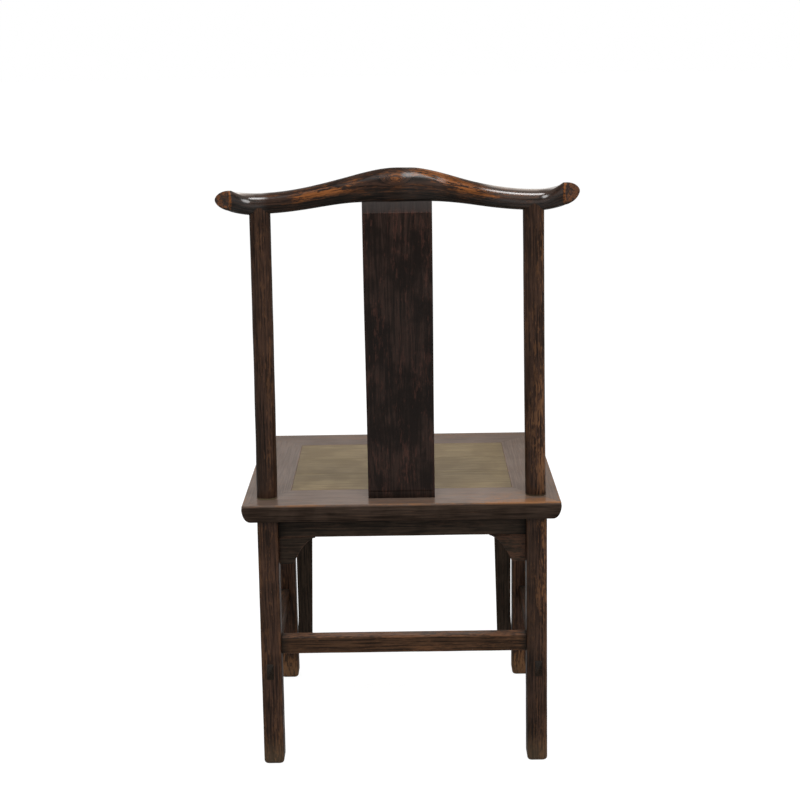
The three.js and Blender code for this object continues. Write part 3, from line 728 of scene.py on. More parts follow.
class WoodEffects:
    """The shader groups: figure of the wood, rubbed places, and marks of use.

    CELLS tell how many cells of a pattern a metre holds: across, through and along the fibres, or the
    same every way. A SPAN tells between which values of its pattern an effect sets in.
    """

    DRIFT_CELLS = (16.0, 16.0, 2.6)
    FIBRE_STRETCH = 0.035
    FIBRE_SPAN = (0.3, 0.7)
    RING_POWER = 2.2
    RING_END = 0.93
    PORE_CELLS = (1900.0, 1900.0, 95.0)
    PORE_SPAN = (0.6, 0.7)
    PORE_RINGS = (0.75, 0.1, 0.25, 1.0)
    FIBRE_HEIGHT = 0.6
    PORE_DEPTH = 0.9

    PATCH_CELLS = (75.0, 75.0, 13.0)
    CHIP_CELLS = (300.0, 300.0, 95.0)
    STREAK_CELLS = (1000.0, 1000.0, 45.0)
    ARRIS_WEIGHTS = (0.55, 0.45)
    ARRIS_SPAN = (0.42, 0.6)
    OPEN_WEIGHTS = (0.35, 0.3, 0.35, 0.1)
    OPEN_SPAN = (0.53, 0.585)

    CLOUD_CELLS = 21.0
    CLOUD_SPAN = (0.3, 0.7)
    SPECK_CELLS = 34.0
    SPECK_SHARE = 0.12
    SPECK_RIM = (0.03, 0.012)
    SCRATCH_CELLS = (1300.0, 1300.0, 22.0)
    SCRATCH_SLANT = (0.5, 0.9, 0.2)
    SCRATCH_SPAN = (0.72, 0.78)
    SCRATCHED_SPAN = (0.45, 0.65)

    def __init__(self) -> None:
        """Builds the groups once."""
        self.figure = self._figure()
        self.rubbed = self._rubbed()
        self.handling = self._handling()

    def _figure(self) -> NodeTree:
        """Year rings round a wandering pith, long fibres, and the short dark pores of open-grained wood.

        Returns:
            The group, which puts out the rings, the fibres, the pores and the height of the surface.
        """
        tree = group_tree("wood_figure", ["Ring Width", "Pith Off", "Waver", "Fibres"],
                          ["Ring", "Fibre", "Pores", "Height"])
        desk = NodeDesk(tree)
        given = desk.put("NodeGroupInput").outputs
        drift = desk.noise(given["Grain"], self.DRIFT_CELLS, 2.0)["Color"]
        sway = desk.vector("SCALE", desk.vector("SUBTRACT", drift, (0.5, 0.5, 0.5)), given["Waver"])
        bent = desk.put("ShaderNodeSeparateXYZ", Vector=desk.vector("ADD", given["Grain"], sway)).outputs
        u = desk.math("SUBTRACT", bent["X"], given["Pith Off"])
        v = desk.math("SUBTRACT", bent["Y"], given["Pith Off"])
        radius = desk.math("SQRT", desk.math("ADD", desk.times(u, u), desk.times(v, v)))
        turn = desk.math("FRACT", desk.math("DIVIDE", radius, given["Ring Width"]))
        ring = desk.times(desk.math("POWER", turn, self.RING_POWER), desk.ramp(turn, 1.0, self.RING_END))
        lengthwise = desk.times(given["Fibres"], self.FIBRE_STRETCH)
        cells = {"X": given["Fibres"], "Y": given["Fibres"], "Z": lengthwise}
        place = desk.put("ShaderNodeCombineXYZ", **{
            axis: desk.times(bent[axis], count) for axis, count in cells.items()})
        fibre = desk.put("ShaderNodeTexNoise", Vector=place.outputs[0], Scale=1.0, Detail=5.0,
                         Roughness=0.62).outputs[0]
        pore = desk.noise(given["Grain"], self.PORE_CELLS, 1.0)["Fac"]
        pores = desk.times(desk.ramp(pore, *self.PORE_SPAN), desk.ramp(turn, *self.PORE_RINGS))
        height = desk.math("SUBTRACT", desk.times(fibre, self.FIBRE_HEIGHT),
                           desk.times(pores, self.PORE_DEPTH))
        desk.put("NodeGroupOutput", Ring=ring, Fibre=desk.ramp(fibre, *self.FIBRE_SPAN), Pores=pores,
                 Height=height)
        return tree

    def _rubbed(self) -> NodeTree:
        """Where the stain has gone: along arrises, and in broken patches that follow the fibres.

        Returns:
            The group, which puts out how bare the wood is.
        """
        tree = group_tree("rubbed_stain", ["Edge", "Bare", "Arris", "Open"], ["Mask"])
        desk = NodeDesk(tree)
        given = desk.put("NodeGroupInput").outputs
        patch, chip, streak = (
            desk.noise(given["Grain"], cells, detail, 0.6)["Fac"] for cells, detail in (
                (self.PATCH_CELLS, 3.0), (self.CHIP_CELLS, 3.0), (self.STREAK_CELLS, 2.0)))
        ragged = desk.ramp(desk.total((patch, chip), self.ARRIS_WEIGHTS), *self.ARRIS_SPAN)
        arris = desk.times(desk.times(given["Edge"], ragged), given["Arris"])
        level = desk.total((patch, chip, streak, given["Bare"]), self.OPEN_WEIGHTS)
        openness = desk.math("ADD", given["Open"], given["Bare"])
        open_wear = desk.times(desk.ramp(level, *self.OPEN_SPAN), openness)
        desk.put("NodeGroupOutput", Mask=desk.math("MINIMUM", desk.math("MAXIMUM", arris, open_wear), 1.0))
        return tree

    def _handling(self) -> NodeTree:
        """Marks of use: cloudy polish, a few pale specks, and fine scratches.

        Returns:
            The group, which puts out the clouds, the specks and the scratches.
        """
        tree = group_tree("marks_of_use", ["Specks"], ["Cloud", "Speck", "Scratch"])
        desk = NodeDesk(tree)
        given = desk.put("NodeGroupInput").outputs
        cloud = desk.put("ShaderNodeTexNoise", Vector=given["Grain"], Scale=self.CLOUD_CELLS,
                         Detail=3.0).outputs[0]
        cells = desk.put("ShaderNodeTexVoronoi", {"feature": "F1"}, Vector=given["Grain"],
                         Scale=self.SPECK_CELLS).outputs
        lot = desk.put("ShaderNodeSeparateColor", Color=cells["Color"]).outputs[0]
        chosen = desk.math("LESS_THAN", lot, desk.times(given["Specks"], self.SPECK_SHARE))
        speck = desk.times(desk.ramp(cells["Distance"], *self.SPECK_RIM), chosen)
        slant = desk.put("ShaderNodeMapping", Vector=given["Grain"], Rotation=self.SCRATCH_SLANT,
                         Scale=self.SCRATCH_CELLS)
        line = desk.put("ShaderNodeTexNoise", Vector=slant.outputs[0], Scale=1.0, Detail=0.0).outputs[0]
        scratch = desk.times(desk.ramp(line, *self.SCRATCH_SPAN), desk.ramp(cloud, *self.SCRATCHED_SPAN))
        desk.put("NodeGroupOutput", Cloud=desk.ramp(cloud, *self.CLOUD_SPAN), Speck=speck, Scratch=scratch)
        return tree


# Finishes

def shaded(colour: Colour, by: float) -> Colour:
    """A colour made darker, or lighter where the factor is above 1."""
    return tuple(by * part for part in colour)


@dataclass(frozen=True)
class StainedWood:
    """A finish of stain over wood: its colours, its figure, its wear and its gloss.

    Lengths are in metres and shares run from 0 to 1. The stain is deep in the early wood and thin
    elsewhere, and worn is the wood's own colour where the stain has gone.
    """

    slot: str
    deep: Colour
    thin: Colour
    worn: Colour
    ring_width: float = 0.004
    pith_off: float = 0.05
    waver: float = 0.012
    fibres: float = 420.0
    ring_share: float = 0.4
    pore_share: float = 0.5
    arris_wear: float = 0.6
    open_wear: float = 0.1
    mottle: float = 0.28
    specks: float = 0.4
    roughness: float = 0.45
    specular: float = 0.12
    wax: float = 0.15
    wax_roughness: float = 0.22
    wax_ior: float = 1.5
    dusty: Colour = (0.085, 0.074, 0.07)
    relief: float = 0.00012
    # The colour that darkens the wood in joints and at ends (soiling) and where shade is painted: under the
    # crest, on the rear legs' and posts' sides towards +x, under the seat frame.
    soil: Colour = (0.012, 0.0075, 0.0052)
    bare_figure: float = 0.55
    bare_streaks: float = 0.0
    soil_figure: float = 0.0
    tone_span: Flat = (0.12, 0.85)
    vein_shade: float = 0.45
    pore_shade: float = 0.35
    soil_cover: Flat = (0.95, 0.82)
    soil_span: Flat = (0.35, 0.7)
    soil_shades: Flat = (0.3, 1.75)
    dust_cover: Flat = (0.58, 0.7)
    speck: Colour = (0.42, 0.38, 0.33)
    speck_share: float = 0.7
    scratch_share: float = 0.25
    gloss_drift: Flat = (0.06, -0.05)
    bare_dullness: float = 0.12
    wax_drift: Flat = (0.9, 1.08)

    def build(self, effects: WoodEffects) -> Material:
        """Wires the material from the shared groups.

        Args:
            effects: the shader groups.

        Returns:
            The material, named after its slot.
        """
        material = bpy.data.materials.new(self.slot)
        desk = NodeDesk.on(material)
        grain = desk.read(GRAIN, "Vector")
        figure = desk.group(effects.figure, Grain=grain, Ring_Width=self.ring_width,
                            Pith_Off=self.pith_off, Waver=self.waver, Fibres=self.fibres)
        rubbed = desk.group(effects.rubbed, Grain=grain, Edge=desk.read(EDGE), Bare=desk.read(BARE),
                            Arris=self.arris_wear, Open=self.open_wear)["Mask"]
        marks = desk.group(effects.handling, Grain=grain, Specks=self.specks)
        light_wood = desk.math("SUBTRACT", 1.0, figure["Ring"])
        pattern = desk.total((figure["Fibre"], light_wood), (1.0 - self.ring_share, self.ring_share))
        tone = desk.times(pattern, desk.ramp(marks["Cloud"], 0.0, 1.0, 1.0 - self.mottle, 1.0))
        colour = self._colour(desk, figure, marks, rubbed, tone)
        sharp, dull = (self.roughness + drift for drift in reversed(self.gloss_drift))
        gloss = desk.math("ADD", desk.ramp(marks["Cloud"], 0.0, 1.0, dull, sharp),
                          desk.times(rubbed, self.bare_dullness))
        bump = desk.put("ShaderNodeBump", Strength=1.0, Distance=self.relief, Height=figure["Height"])
        thin_wax, full_wax = (min(1.0, self.wax * drift) for drift in self.wax_drift)
        wax = desk.times(desk.read(POLISH), desk.ramp(marks["Cloud"], 0.0, 1.0, thin_wax, full_wax))
        shader = desk.put("ShaderNodeBsdfPrincipled", Base_Color=colour, Roughness=gloss,
                          Normal=bump.outputs[0], Coat_Weight=wax, Specular_IOR_Level=self.specular,
                          Coat_Roughness=self.wax_roughness, Coat_IOR=self.wax_ior)
        desk.put("ShaderNodeOutputMaterial", Surface=shader.outputs[0])
        return material

    def _colour(self, desk: NodeDesk, figure: Sockets, marks: Sockets, rubbed: Socket,
                tone: Socket) -> Socket:
        """The stain, the bare places and pores in it, and what lies on top: soiling and painted shade,
        dusting and a painted reflection, specks, scratches.

        Args:
            desk: where the nodes go.
            figure: the outputs of the figure group.
            marks: the outputs of the group of marks of use.
            rubbed: how bare the wood is.
            tone: how light the stain is, 0 to 1.

        Returns:
            The colour.
        """
        stain = desk.mix(desk.ramp(tone, *self.tone_span), self.deep, self.thin)
        streaks = desk.times(desk.math("SUBTRACT", 1.0, figure["Fibre"]), self.bare_streaks)
        veins = desk.math("MAXIMUM", desk.times(figure["Ring"], self.bare_figure), streaks)
        bare = desk.mix(veins, self.worn, shaded(self.worn, self.vein_shade))
        pores = desk.times(figure["Pores"], self.pore_share)
        colour = desk.mix(pores, desk.mix(rubbed, stain, bare), shaded(self.deep, self.pore_shade))
        # These values darken the colour: soiling in joints, seams and at ends, and painted shade under the
        # crest rail, on the rear legs' and posts' sides towards +x and on the legs' tops under the seat
        # frame.
        cover = desk.times(desk.read(GRIME_AND_SHADE), desk.ramp(marks["Cloud"], 0.0, 1.0, *self.soil_cover))
        cover = desk.times(cover, desk.ramp(tone, *self.soil_span, 1.0, 1.0 - self.soil_figure))
        soil = desk.mix(figure["Fibre"], *(shaded(self.soil, by) for by in self.soil_shades))
        # These values lay a pale film: dusting, old glue, and the painted reflection on the splat's top band.
        dust = desk.times(desk.read(DUST_AND_REFLECTION), desk.ramp(figure["Fibre"], 0.0, 1.0, *self.dust_cover))
        for share, second in (
            (cover, soil),
            (dust, self.dusty),
            (desk.times(marks["Speck"], self.speck_share), self.speck),
            (desk.times(marks["Scratch"], self.scratch_share), self.worn),
        ):
            colour = desk.mix(share, colour, second)
        return colour


# The chair's finishes, one for each slot of the record
FINISHES = (
    # The crest's darkening colour is laid mostly as painted shade on the rail's lower half.
    StainedWood(
        "crest_wood", (0.0075, 0.0054, 0.0044), (0.041, 0.0215, 0.0145), (0.255, 0.088, 0.025),
        ring_width=0.0042, pith_off=0.02, waver=0.02, fibres=330.0, ring_share=0.5, arris_wear=0.6,
        open_wear=0.3, roughness=0.42, specular=0.05, wax=0.9, wax_roughness=0.17, wax_ior=1.9,
        soil=(0.0122, 0.0112, 0.0095), bare_figure=0.9, bare_streaks=0.9, pore_share=0.7, soil_figure=0.42),
    StainedWood(
        "leg_wood", (0.0115, 0.006, 0.0038), (0.06, 0.03, 0.0185), (0.21, 0.095, 0.04),
        ring_width=0.0046, waver=0.008, fibres=520.0, ring_share=0.35, arris_wear=0.3, open_wear=0.25,
        roughness=0.42, specular=0.03, wax=0.18, dusty=(0.1, 0.076, 0.045)),
    StainedWood(
        "splat_wood", (0.0104, 0.007, 0.0057), (0.0295, 0.0172, 0.0134), (0.073, 0.031, 0.0225),
        ring_width=0.017, pith_off=0.09, waver=0.05, fibres=260.0, ring_share=0.15, pore_share=0.3,
        arris_wear=0.4, open_wear=0.46, mottle=0.66, roughness=0.42, specular=0.03, wax=0.15),
    StainedWood(
        "seat_frame_wood", (0.11, 0.076, 0.058), (0.147, 0.102, 0.08), (0.27, 0.125, 0.055),
        ring_width=0.005, waver=0.01, fibres=380.0, ring_share=0.2, pore_share=0.12, arris_wear=0.75,
        open_wear=0.03, mottle=0.2, roughness=0.4, specular=0.0, wax=0.27, wax_roughness=0.2,
        soil=(0.023, 0.0148, 0.0104)),
    StainedWood(
        "seat_panel_wood", (0.19, 0.134, 0.063), (0.274, 0.199, 0.091), (0.298, 0.207, 0.098),
        ring_width=0.006, pith_off=0.12, waver=0.03, fibres=300.0, ring_share=0.2, pore_share=0.1,
        arris_wear=0.05, open_wear=0.06, mottle=0.45, roughness=0.4, specular=0.0, wax=0.18,
        wax_roughness=0.22),
    # The aprons' high arris wear lays a pale line along the brackets' curved and lower edges: worn edges and
    # a painted highlight.
    StainedWood(
        "apron_wood", (0.0112, 0.0083, 0.006), (0.041, 0.0275, 0.019), (0.085, 0.042, 0.026),
        ring_width=0.006, waver=0.015, ring_share=0.3, arris_wear=0.9, open_wear=0.2,
        roughness=0.5, specular=0.04, wax=0.05, soil=(0.009, 0.0068, 0.0045)),
    StainedWood(
        "stretcher_wood", (0.0122, 0.0068, 0.004), (0.067, 0.0335, 0.0172), (0.19, 0.083, 0.038),
        ring_width=0.0045, waver=0.008, fibres=450.0, ring_share=0.4, arris_wear=0.6, open_wear=0.35,
        roughness=0.42, specular=0.03, wax=0.12, soil=(0.0085, 0.0068, 0.0045)),
    StainedWood(
        "batten_wood", (0.05, 0.031, 0.02), (0.1, 0.064, 0.042), (0.16, 0.1, 0.06),
        ring_width=0.005, arris_wear=0.2, roughness=0.65, specular=0.1, wax=0.0),
)


@dataclass
class Workshop:
    """What every sub-assembly needs: the plan, the bar tree and the materials."""

    plan: Plan
    bars: BarTree
    materials: dict[str, Material]

    def finish(self, piece: Object, slot: str, *nodes: str) -> None:
        """Dresses a piece and ties it to the frame.

        Args:
            piece: the finished mesh object.
            slot: the record's material slot.
            *nodes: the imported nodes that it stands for.
        """
        if not piece.data.materials:
            piece.data.materials.append(self.materials[slot])
        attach(piece, BODY)
        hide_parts(*nodes)
        triangles = sum(len(face.vertices) - 2 for face in piece.data.polygons)
        log.info("%s stands for %s: %d triangles", piece.name, ", ".join(nodes), triangles)

    def bar(self, name: str, slot: str, start: Vector, end: Vector, section: Flat, rounding: float,
            **wear: float) -> None:
        """Draws a straight timber in its slot's own material and ties it to the frame."""
        self.finish(self.bars.bar(name, start, end, section, rounding, self.materials[slot], **wear),
                    slot, name)


# The back: crest rail, splat, and the rear legs that run up as posts

@dataclass(frozen=True)
class SquareLegs:
    """A pair of square legs with rounded feet, which lean away from the seat's middle towards the floor."""

    row: str
    to_seat: float
    side_inset: float
    inset: float
    splay_out: float
    splay_deep: float
    bare_foot: float
    foot_size: float = 0.033
    top_size: float = 0.0328
    corner: float = 0.0035
    border: float = 0.0034
    foot_rounding: float = 0.0085
    rounded_foot: float = 0.012
    leg_sway: float = 0.0002
    rim_height: float = 0.009
    bare_foot_height: float = 0.08
    foot_dust: float = 0.6
    foot_dust_height: float = 0.06
    # painted shadow of the seat frame on the top of each leg: how dark, and how far down
    seam_grime: float = 0.5
    seam_height: float = 0.012
    right_streaks: float = 0.5
    streaks_from: float = 0.23

    def leg_at(self, plan: Plan, z: float) -> tuple[float, float, float]:
        """The pair's half spacing, its place in y and a leg's half size at a height."""
        up = z / plan.seat_top
        seat_edge = plan.seat_front if self.to_seat > 0 else plan.seat_back
        return (plan.seat_half - self.side_inset + self.splay_out * (1 - up),
                seat_edge + self.to_seat * self.inset - self.to_seat * self.splay_deep * (1 - up),
                lerp(self.foot_size, self.top_size, up) / 2)

    def inner(self, plan: Plan, z: float) -> float:
        """How far the inner faces lie from the chair's middle at a height."""
        x, _, half = self.leg_at(plan, z)
        return x - half

    def seat_face(self, plan: Plan, z: float) -> float:
        """The place in y of the faces that look under the seat at a height."""
        _, y, half = self.leg_at(plan, z)
        return y + self.to_seat * half

    def foot_levels(self) -> list[Flat]:
        """Heights near the floor, and how far the foot's edge is rounded in at each."""
        return [(self.foot_rounding * (1 - cos(a)), self.foot_rounding * (1 - sin(a)))
                for a in spread(0.0, pi / 2, 7)]

    def soot(self, side: Side, z: float) -> float:
        """How much painted shade darkens the side towards +x at a height."""
        return 0.0

    def rings(self, shop: Workshop, side: Side) -> list[Ring]:
        """Rings of a square leg, from the floor to the underside of the seat.

        Args:
            shop: the workshop.
            side: which leg.

        Returns:
            The rings, from the floor up.
        """
        top = shop.plan.under_frame
        rings = []
        for z, loss in self.foot_levels() + [(z, 0.0) for z in spread(self.rounded_foot, top, 34)]:
            x, y, half = self.leg_at(shop.plan, z)
            sway = self.leg_sway * noise.noise(Vector((z * 21.0, side.value * 3.0, y)))
            reach = half - loss + sway
            outline = rounded_square(reach, reach, min(self.corner, reach / 2), self.border)
            points = [Vector((side.value * x + u, y + v, z)) for u, v, _ in outline]
            grain = [Vector((u, v, z)) for u, v, _ in outline]
            rim = 1.0 - smooth(z / self.rim_height)
            foot = self.bare_foot * (1.0 - smooth(z / self.bare_foot_height))
            streaks = 0.0
            if side is Side.RIGHT:
                streaks = self.right_streaks * smooth((z - self.streaks_from) / 0.06)
            # painted shadow of the seat frame on the top of the leg
            seam = self.seam_grime * smooth((z - top + self.seam_height) / self.seam_height)
            # painted shade on the side towards +x
            soot = self.soot(side, z)
            rings.append(Ring.of(
                points, grain, [max(edge, rim) for _, _, edge in outline],
                grime=[max(seam, soot * smooth(0.55 + 0.7 * u / half)) for u, _, _ in outline],
                bare=[foot + streaks * smooth(-1.6 * u / half) for u, _, _ in outline],
                dust=self.foot_dust * (1.0 - smooth(z / self.foot_dust_height))))
        return rings

    def build(self, shop: Workshop) -> None:
        """Builds both legs."""
        for side in Side:
            name = f"{self.row}_leg_{side.label}"
            shop.finish(skin(name, self.rings(shop, side)), "leg_wood", name)


@dataclass(frozen=True)
class PostWear:
    """How one post has aged, and its painted shade towards +x; a pair holds its top value and its value near
    the seat.
    """

    shade: Flat
    bare: Flat
    bare_at_joint: float
    glue: float


@dataclass(frozen=True)
class RearLegs(SquareLegs):
    """Two timbers, square below the seat and round above it.

    Both have their side towards +x darkened with painted shade, and their bare side towards -x.
    """

    row: str = "rear"
    to_seat: float = -1.0
    side_inset: float = 0.0352
    inset: float = 0.0435
    splay_out: float = 0.0046
    splay_deep: float = 0.005
    bare_foot: float = 0.25
    post_convergence: float = 0.0114
    post_lean: float = 0.046
    post_behind_crest: float = 0.0005
    lean_power: float = 1.35
    post_base: float = 0.0314
    post_top: float = 0.0304
    base_squareness: float = 2.6
    top_squareness: float = 2.05
    square_share: float = 0.5
    fuller_side: float = 0.0012
    crest_height: float = 0.9326
    post_sway: float = 0.00025
    # painted shade on the square legs' sides towards +x
    left_soot: float = 0.12
    left_soot_top: float = 0.1
    right_soot: float = 0.62
    joint_grime: float = 0.9
    joint_height: float = 0.006
    glue_height: float = 0.0024
    lower_post: float = 0.28
    left_wear: PostWear = PostWear((0.3, 0.72), (0.1, 0.0), 1.0, 1.6)
    right_wear: PostWear = PostWear((0.22, 0.22), (0.35, 0.75), 0.45, 0.7)

    def post_at(self, plan: Plan, z: float) -> tuple[float, float, float, float]:
        """A round post's half spacing, its place in y, its half size and its squareness at a height."""
        rise = max((z - plan.seat_top) / (self.crest_height - plan.seat_top), 0.0)
        x = plan.seat_half - self.side_inset - self.post_convergence * rise
        y = plan.seat_back - self.inset + (self.post_lean + self.post_behind_crest) * rise ** self.lean_power
        half = lerp(self.post_base, self.post_top, rise) / 2
        return x, y, half, lerp(self.base_squareness, self.top_squareness, min(1.0, rise / self.square_share))

    def soot(self, side: Side, z: float) -> float:
        """How much painted shade darkens the side towards +x: evenly on the right leg, low down on the left.
        """
        if side is Side.RIGHT:
            return self.right_soot
        return self.left_soot * (1.0 - smooth((z - self.left_soot_top) / 0.1))

    def rings(self, shop: Workshop, side: Side) -> list[Ring]:
        """Rings of the square leg and of the round post, which runs up into the crest rail.

        Args:
            shop: the workshop.
            side: which timber.

        Returns:
            The rings, from the floor up.
        """
        seat_top = shop.plan.seat_top
        wear = self.left_wear if side is Side.LEFT else self.right_wear
        rings = super().rings(shop, side)
        count = len(rings[0].points)
        for z in [shop.plan.under_frame + 0.0001, seat_top, seat_top + 0.0022, seat_top + 0.0028,
                  *spread(seat_top + 0.006, self.crest_height, 55)]:
            x, y, half, squareness = self.post_at(shop.plan, z)
            sway = self.post_sway * noise.noise(Vector((z * 17.0, side.value * 5.0, 2.0)))
            outline = oval(half + sway, half + sway, squareness, count)
            points = [Vector((side.value * x + u + self.fuller_side * max(0.0, u / half), y + v, z))
                      for u, v, _ in outline]
            grain = [Vector((u, v, z)) for u, v, _ in outline]
            above = z - seat_top
            lower = 1.0 - smooth(above / self.lower_post)
            joint = self.joint_grime * (1.0 - smooth(above / self.joint_height)) if above >= 0 else 0.0
            # painted shade: the post's side towards +x is darkened
            shade = lerp(*wear.shade, lower)
            bare = lerp(*wear.bare, lower) * lerp(wear.bare_at_joint, 1.0, smooth(above / 0.08))
            rings.append(Ring.of(
                points, grain, [edge for _, _, edge in outline],
                grime=[max(joint, shade * smooth(0.5 + 0.8 * u / half)) for u, _, _ in outline],
                bare=[bare * lerp(0.25, 1.0, smooth(-1.4 * u / half)) for u, _, _ in outline],
                dust=wear.glue if 0 <= above < self.glue_height else 0.0))
        return rings


@dataclass(frozen=True)
class CrestTip:
    """One end of the crest rail; the two ends differ a little, as hand carving does.

    Rubbed says where along the rail its bare patch starts and ends, and how bare it is. The patch's
    heights are those at its start and its end, and like other heights on a section they run from -1 at
    its bottom to 1 at its top.
    """

    overhang: float
    rise: float
    thickness: float
    point_lift: float
    belly: float
    rubbed: tuple[float, float, float]
    patch_heights: Flat
    face_bare: float


@dataclass(frozen=True)
class CrestWear:
    """What use has done to the crest rail: rubbed patches, the shine of hands, a knot; and painted shade
    below.
    """

    knot_at: Flat = (0.0015, 0.01)
    knot_size: Flat = (0.015, 0.0075)
    knot_push: Flat = (0.011, 0.006)
    knot_bare: float = 0.8
    patch_fade: float = 0.03
    patch_reach: float = 0.75
    top_bare: float = 0.12
    kept_stain: float = 0.26
    crown_shine: float = 0.42
    least_shine: float = 0.04
    # painted shade on the rail's lower half, deepest on its underside
    dark_below: float = 0.16
    dark_fade: float = 0.56
    dirt: float = 0.84
    underside_dirt: float = 0.14
    corner_from: float = 0.4
    rim: float = 0.8
    rim_bare: float = 1.2
    inner_edge: float = 0.5
    face_grime: float = 0.1
    face_dust: float = 0.3
    cut_polish: float = 0.05

    def knot(self, along: float, v: float) -> float:
        """How near a point is to the knot in the crown, 0 to 1."""
        return exp(-((along - self.knot_at[0]) / self.knot_size[0]) ** 2
                   - ((v - self.knot_at[1]) / self.knot_size[1]) ** 2)

    def shine(self, along: float) -> float:
        """How much wax is left: the arms and tips shine, the crown only right of its middle.

        Args:
            along: the signed distance from the rail's middle.

        Returns:
            The share that is left, 0 to 1.
        """
        left_arm = smooth((along - 0.185) / 0.02)
        right_arm = smooth((-along - 0.115) / 0.03)
        crown = self.crown_shine * smooth((-along - 0.002) / 0.012) * (1.0 - smooth((-along - 0.06) / 0.025))
        return max(left_arm, right_arm, crown, self.least_shine)

    def patch(self, end: CrestTip, x: float, height: float) -> float:
        """How far the stain is rubbed off in the patch on an arm.

        Args:
            end: the rail's end on that side.
            x: how far from the rail's middle.
            height: how high on the section.

        Returns:
            The share that is gone, 0 to 1.
        """
        first, last, how_bare = end.rubbed
        middle = lerp(*end.patch_heights, min(1.0, max(0.0, (x - first) / (last - first))))
        there = how_bare * smooth((x - first + self.patch_fade) / self.patch_fade)
        there *= 1.0 - smooth((x - last) / self.patch_fade)
        return smooth(1.0 - abs(height - middle) / self.patch_reach) * there

    def values(self, end: CrestTip, along: float, turn_over: float, height: float, backness: float,
               knot: float) -> tuple[float, float, float, float]:
        """The wear and painted shade of one point.

        Args:
            end: the rail's end on that side.
            along: the signed distance from the rail's middle.
            turn_over: how far round the end's rounding it lies, as CrestRail.section has it.
            height: how high on the section.
            backness: how far back on it, from -1 to 1.
            knot: how near the knot is.

        Returns:
            Its edge, its darkening (painted shade low down, soiling on the end's face), its bareness and its
            polish.
        """
        corner, face, rim = self.corner_from < turn_over <= 1.0, turn_over >= 1.0, backness > self.rim
        rubbed = max(self.patch(end, abs(along), height), self.knot_bare * knot)
        bare = rubbed + self.top_bare * smooth((height - 0.2) / 0.4)
        if not turn_over:
            bare -= self.kept_stain * (smooth((along - 0.17) / 0.03) + smooth((-along - 0.19) / 0.03))
        elif corner and rim:
            bare = self.rim_bare
        elif face and not rim:
            bare = end.face_bare
        # painted shade: the lower half, and the underside most, are darkened and hold less wax
        lower = smooth((self.dark_below - height) / self.dark_fade)
        dirt = self.dirt * lower + self.underside_dirt * smooth((-0.4 - height) / 0.3)
        edge = (1.0 if rim else self.inner_edge) if corner else 0.0
        polish = (1.0 - 0.75 * rubbed) * (1.0 - 0.85 * lower) * self.shine(along)
        return edge, self.face_grime if face else dirt, bare, self.cut_polish if face or corner else polish


@dataclass(frozen=True)
class CrestStation:
    """Where a section of the crest rail lies, how big it is, and its own back and outward directions.

    Tip runs from 0 at the post to 1 at the end, and swell from 0 on the arms to 1 in the crown.
    """

    along: float
    end: CrestTip
    tip: float
    swell: float
    thickness: float
    depth: float
    centre: Vector
    back: Vector
    outward: Vector


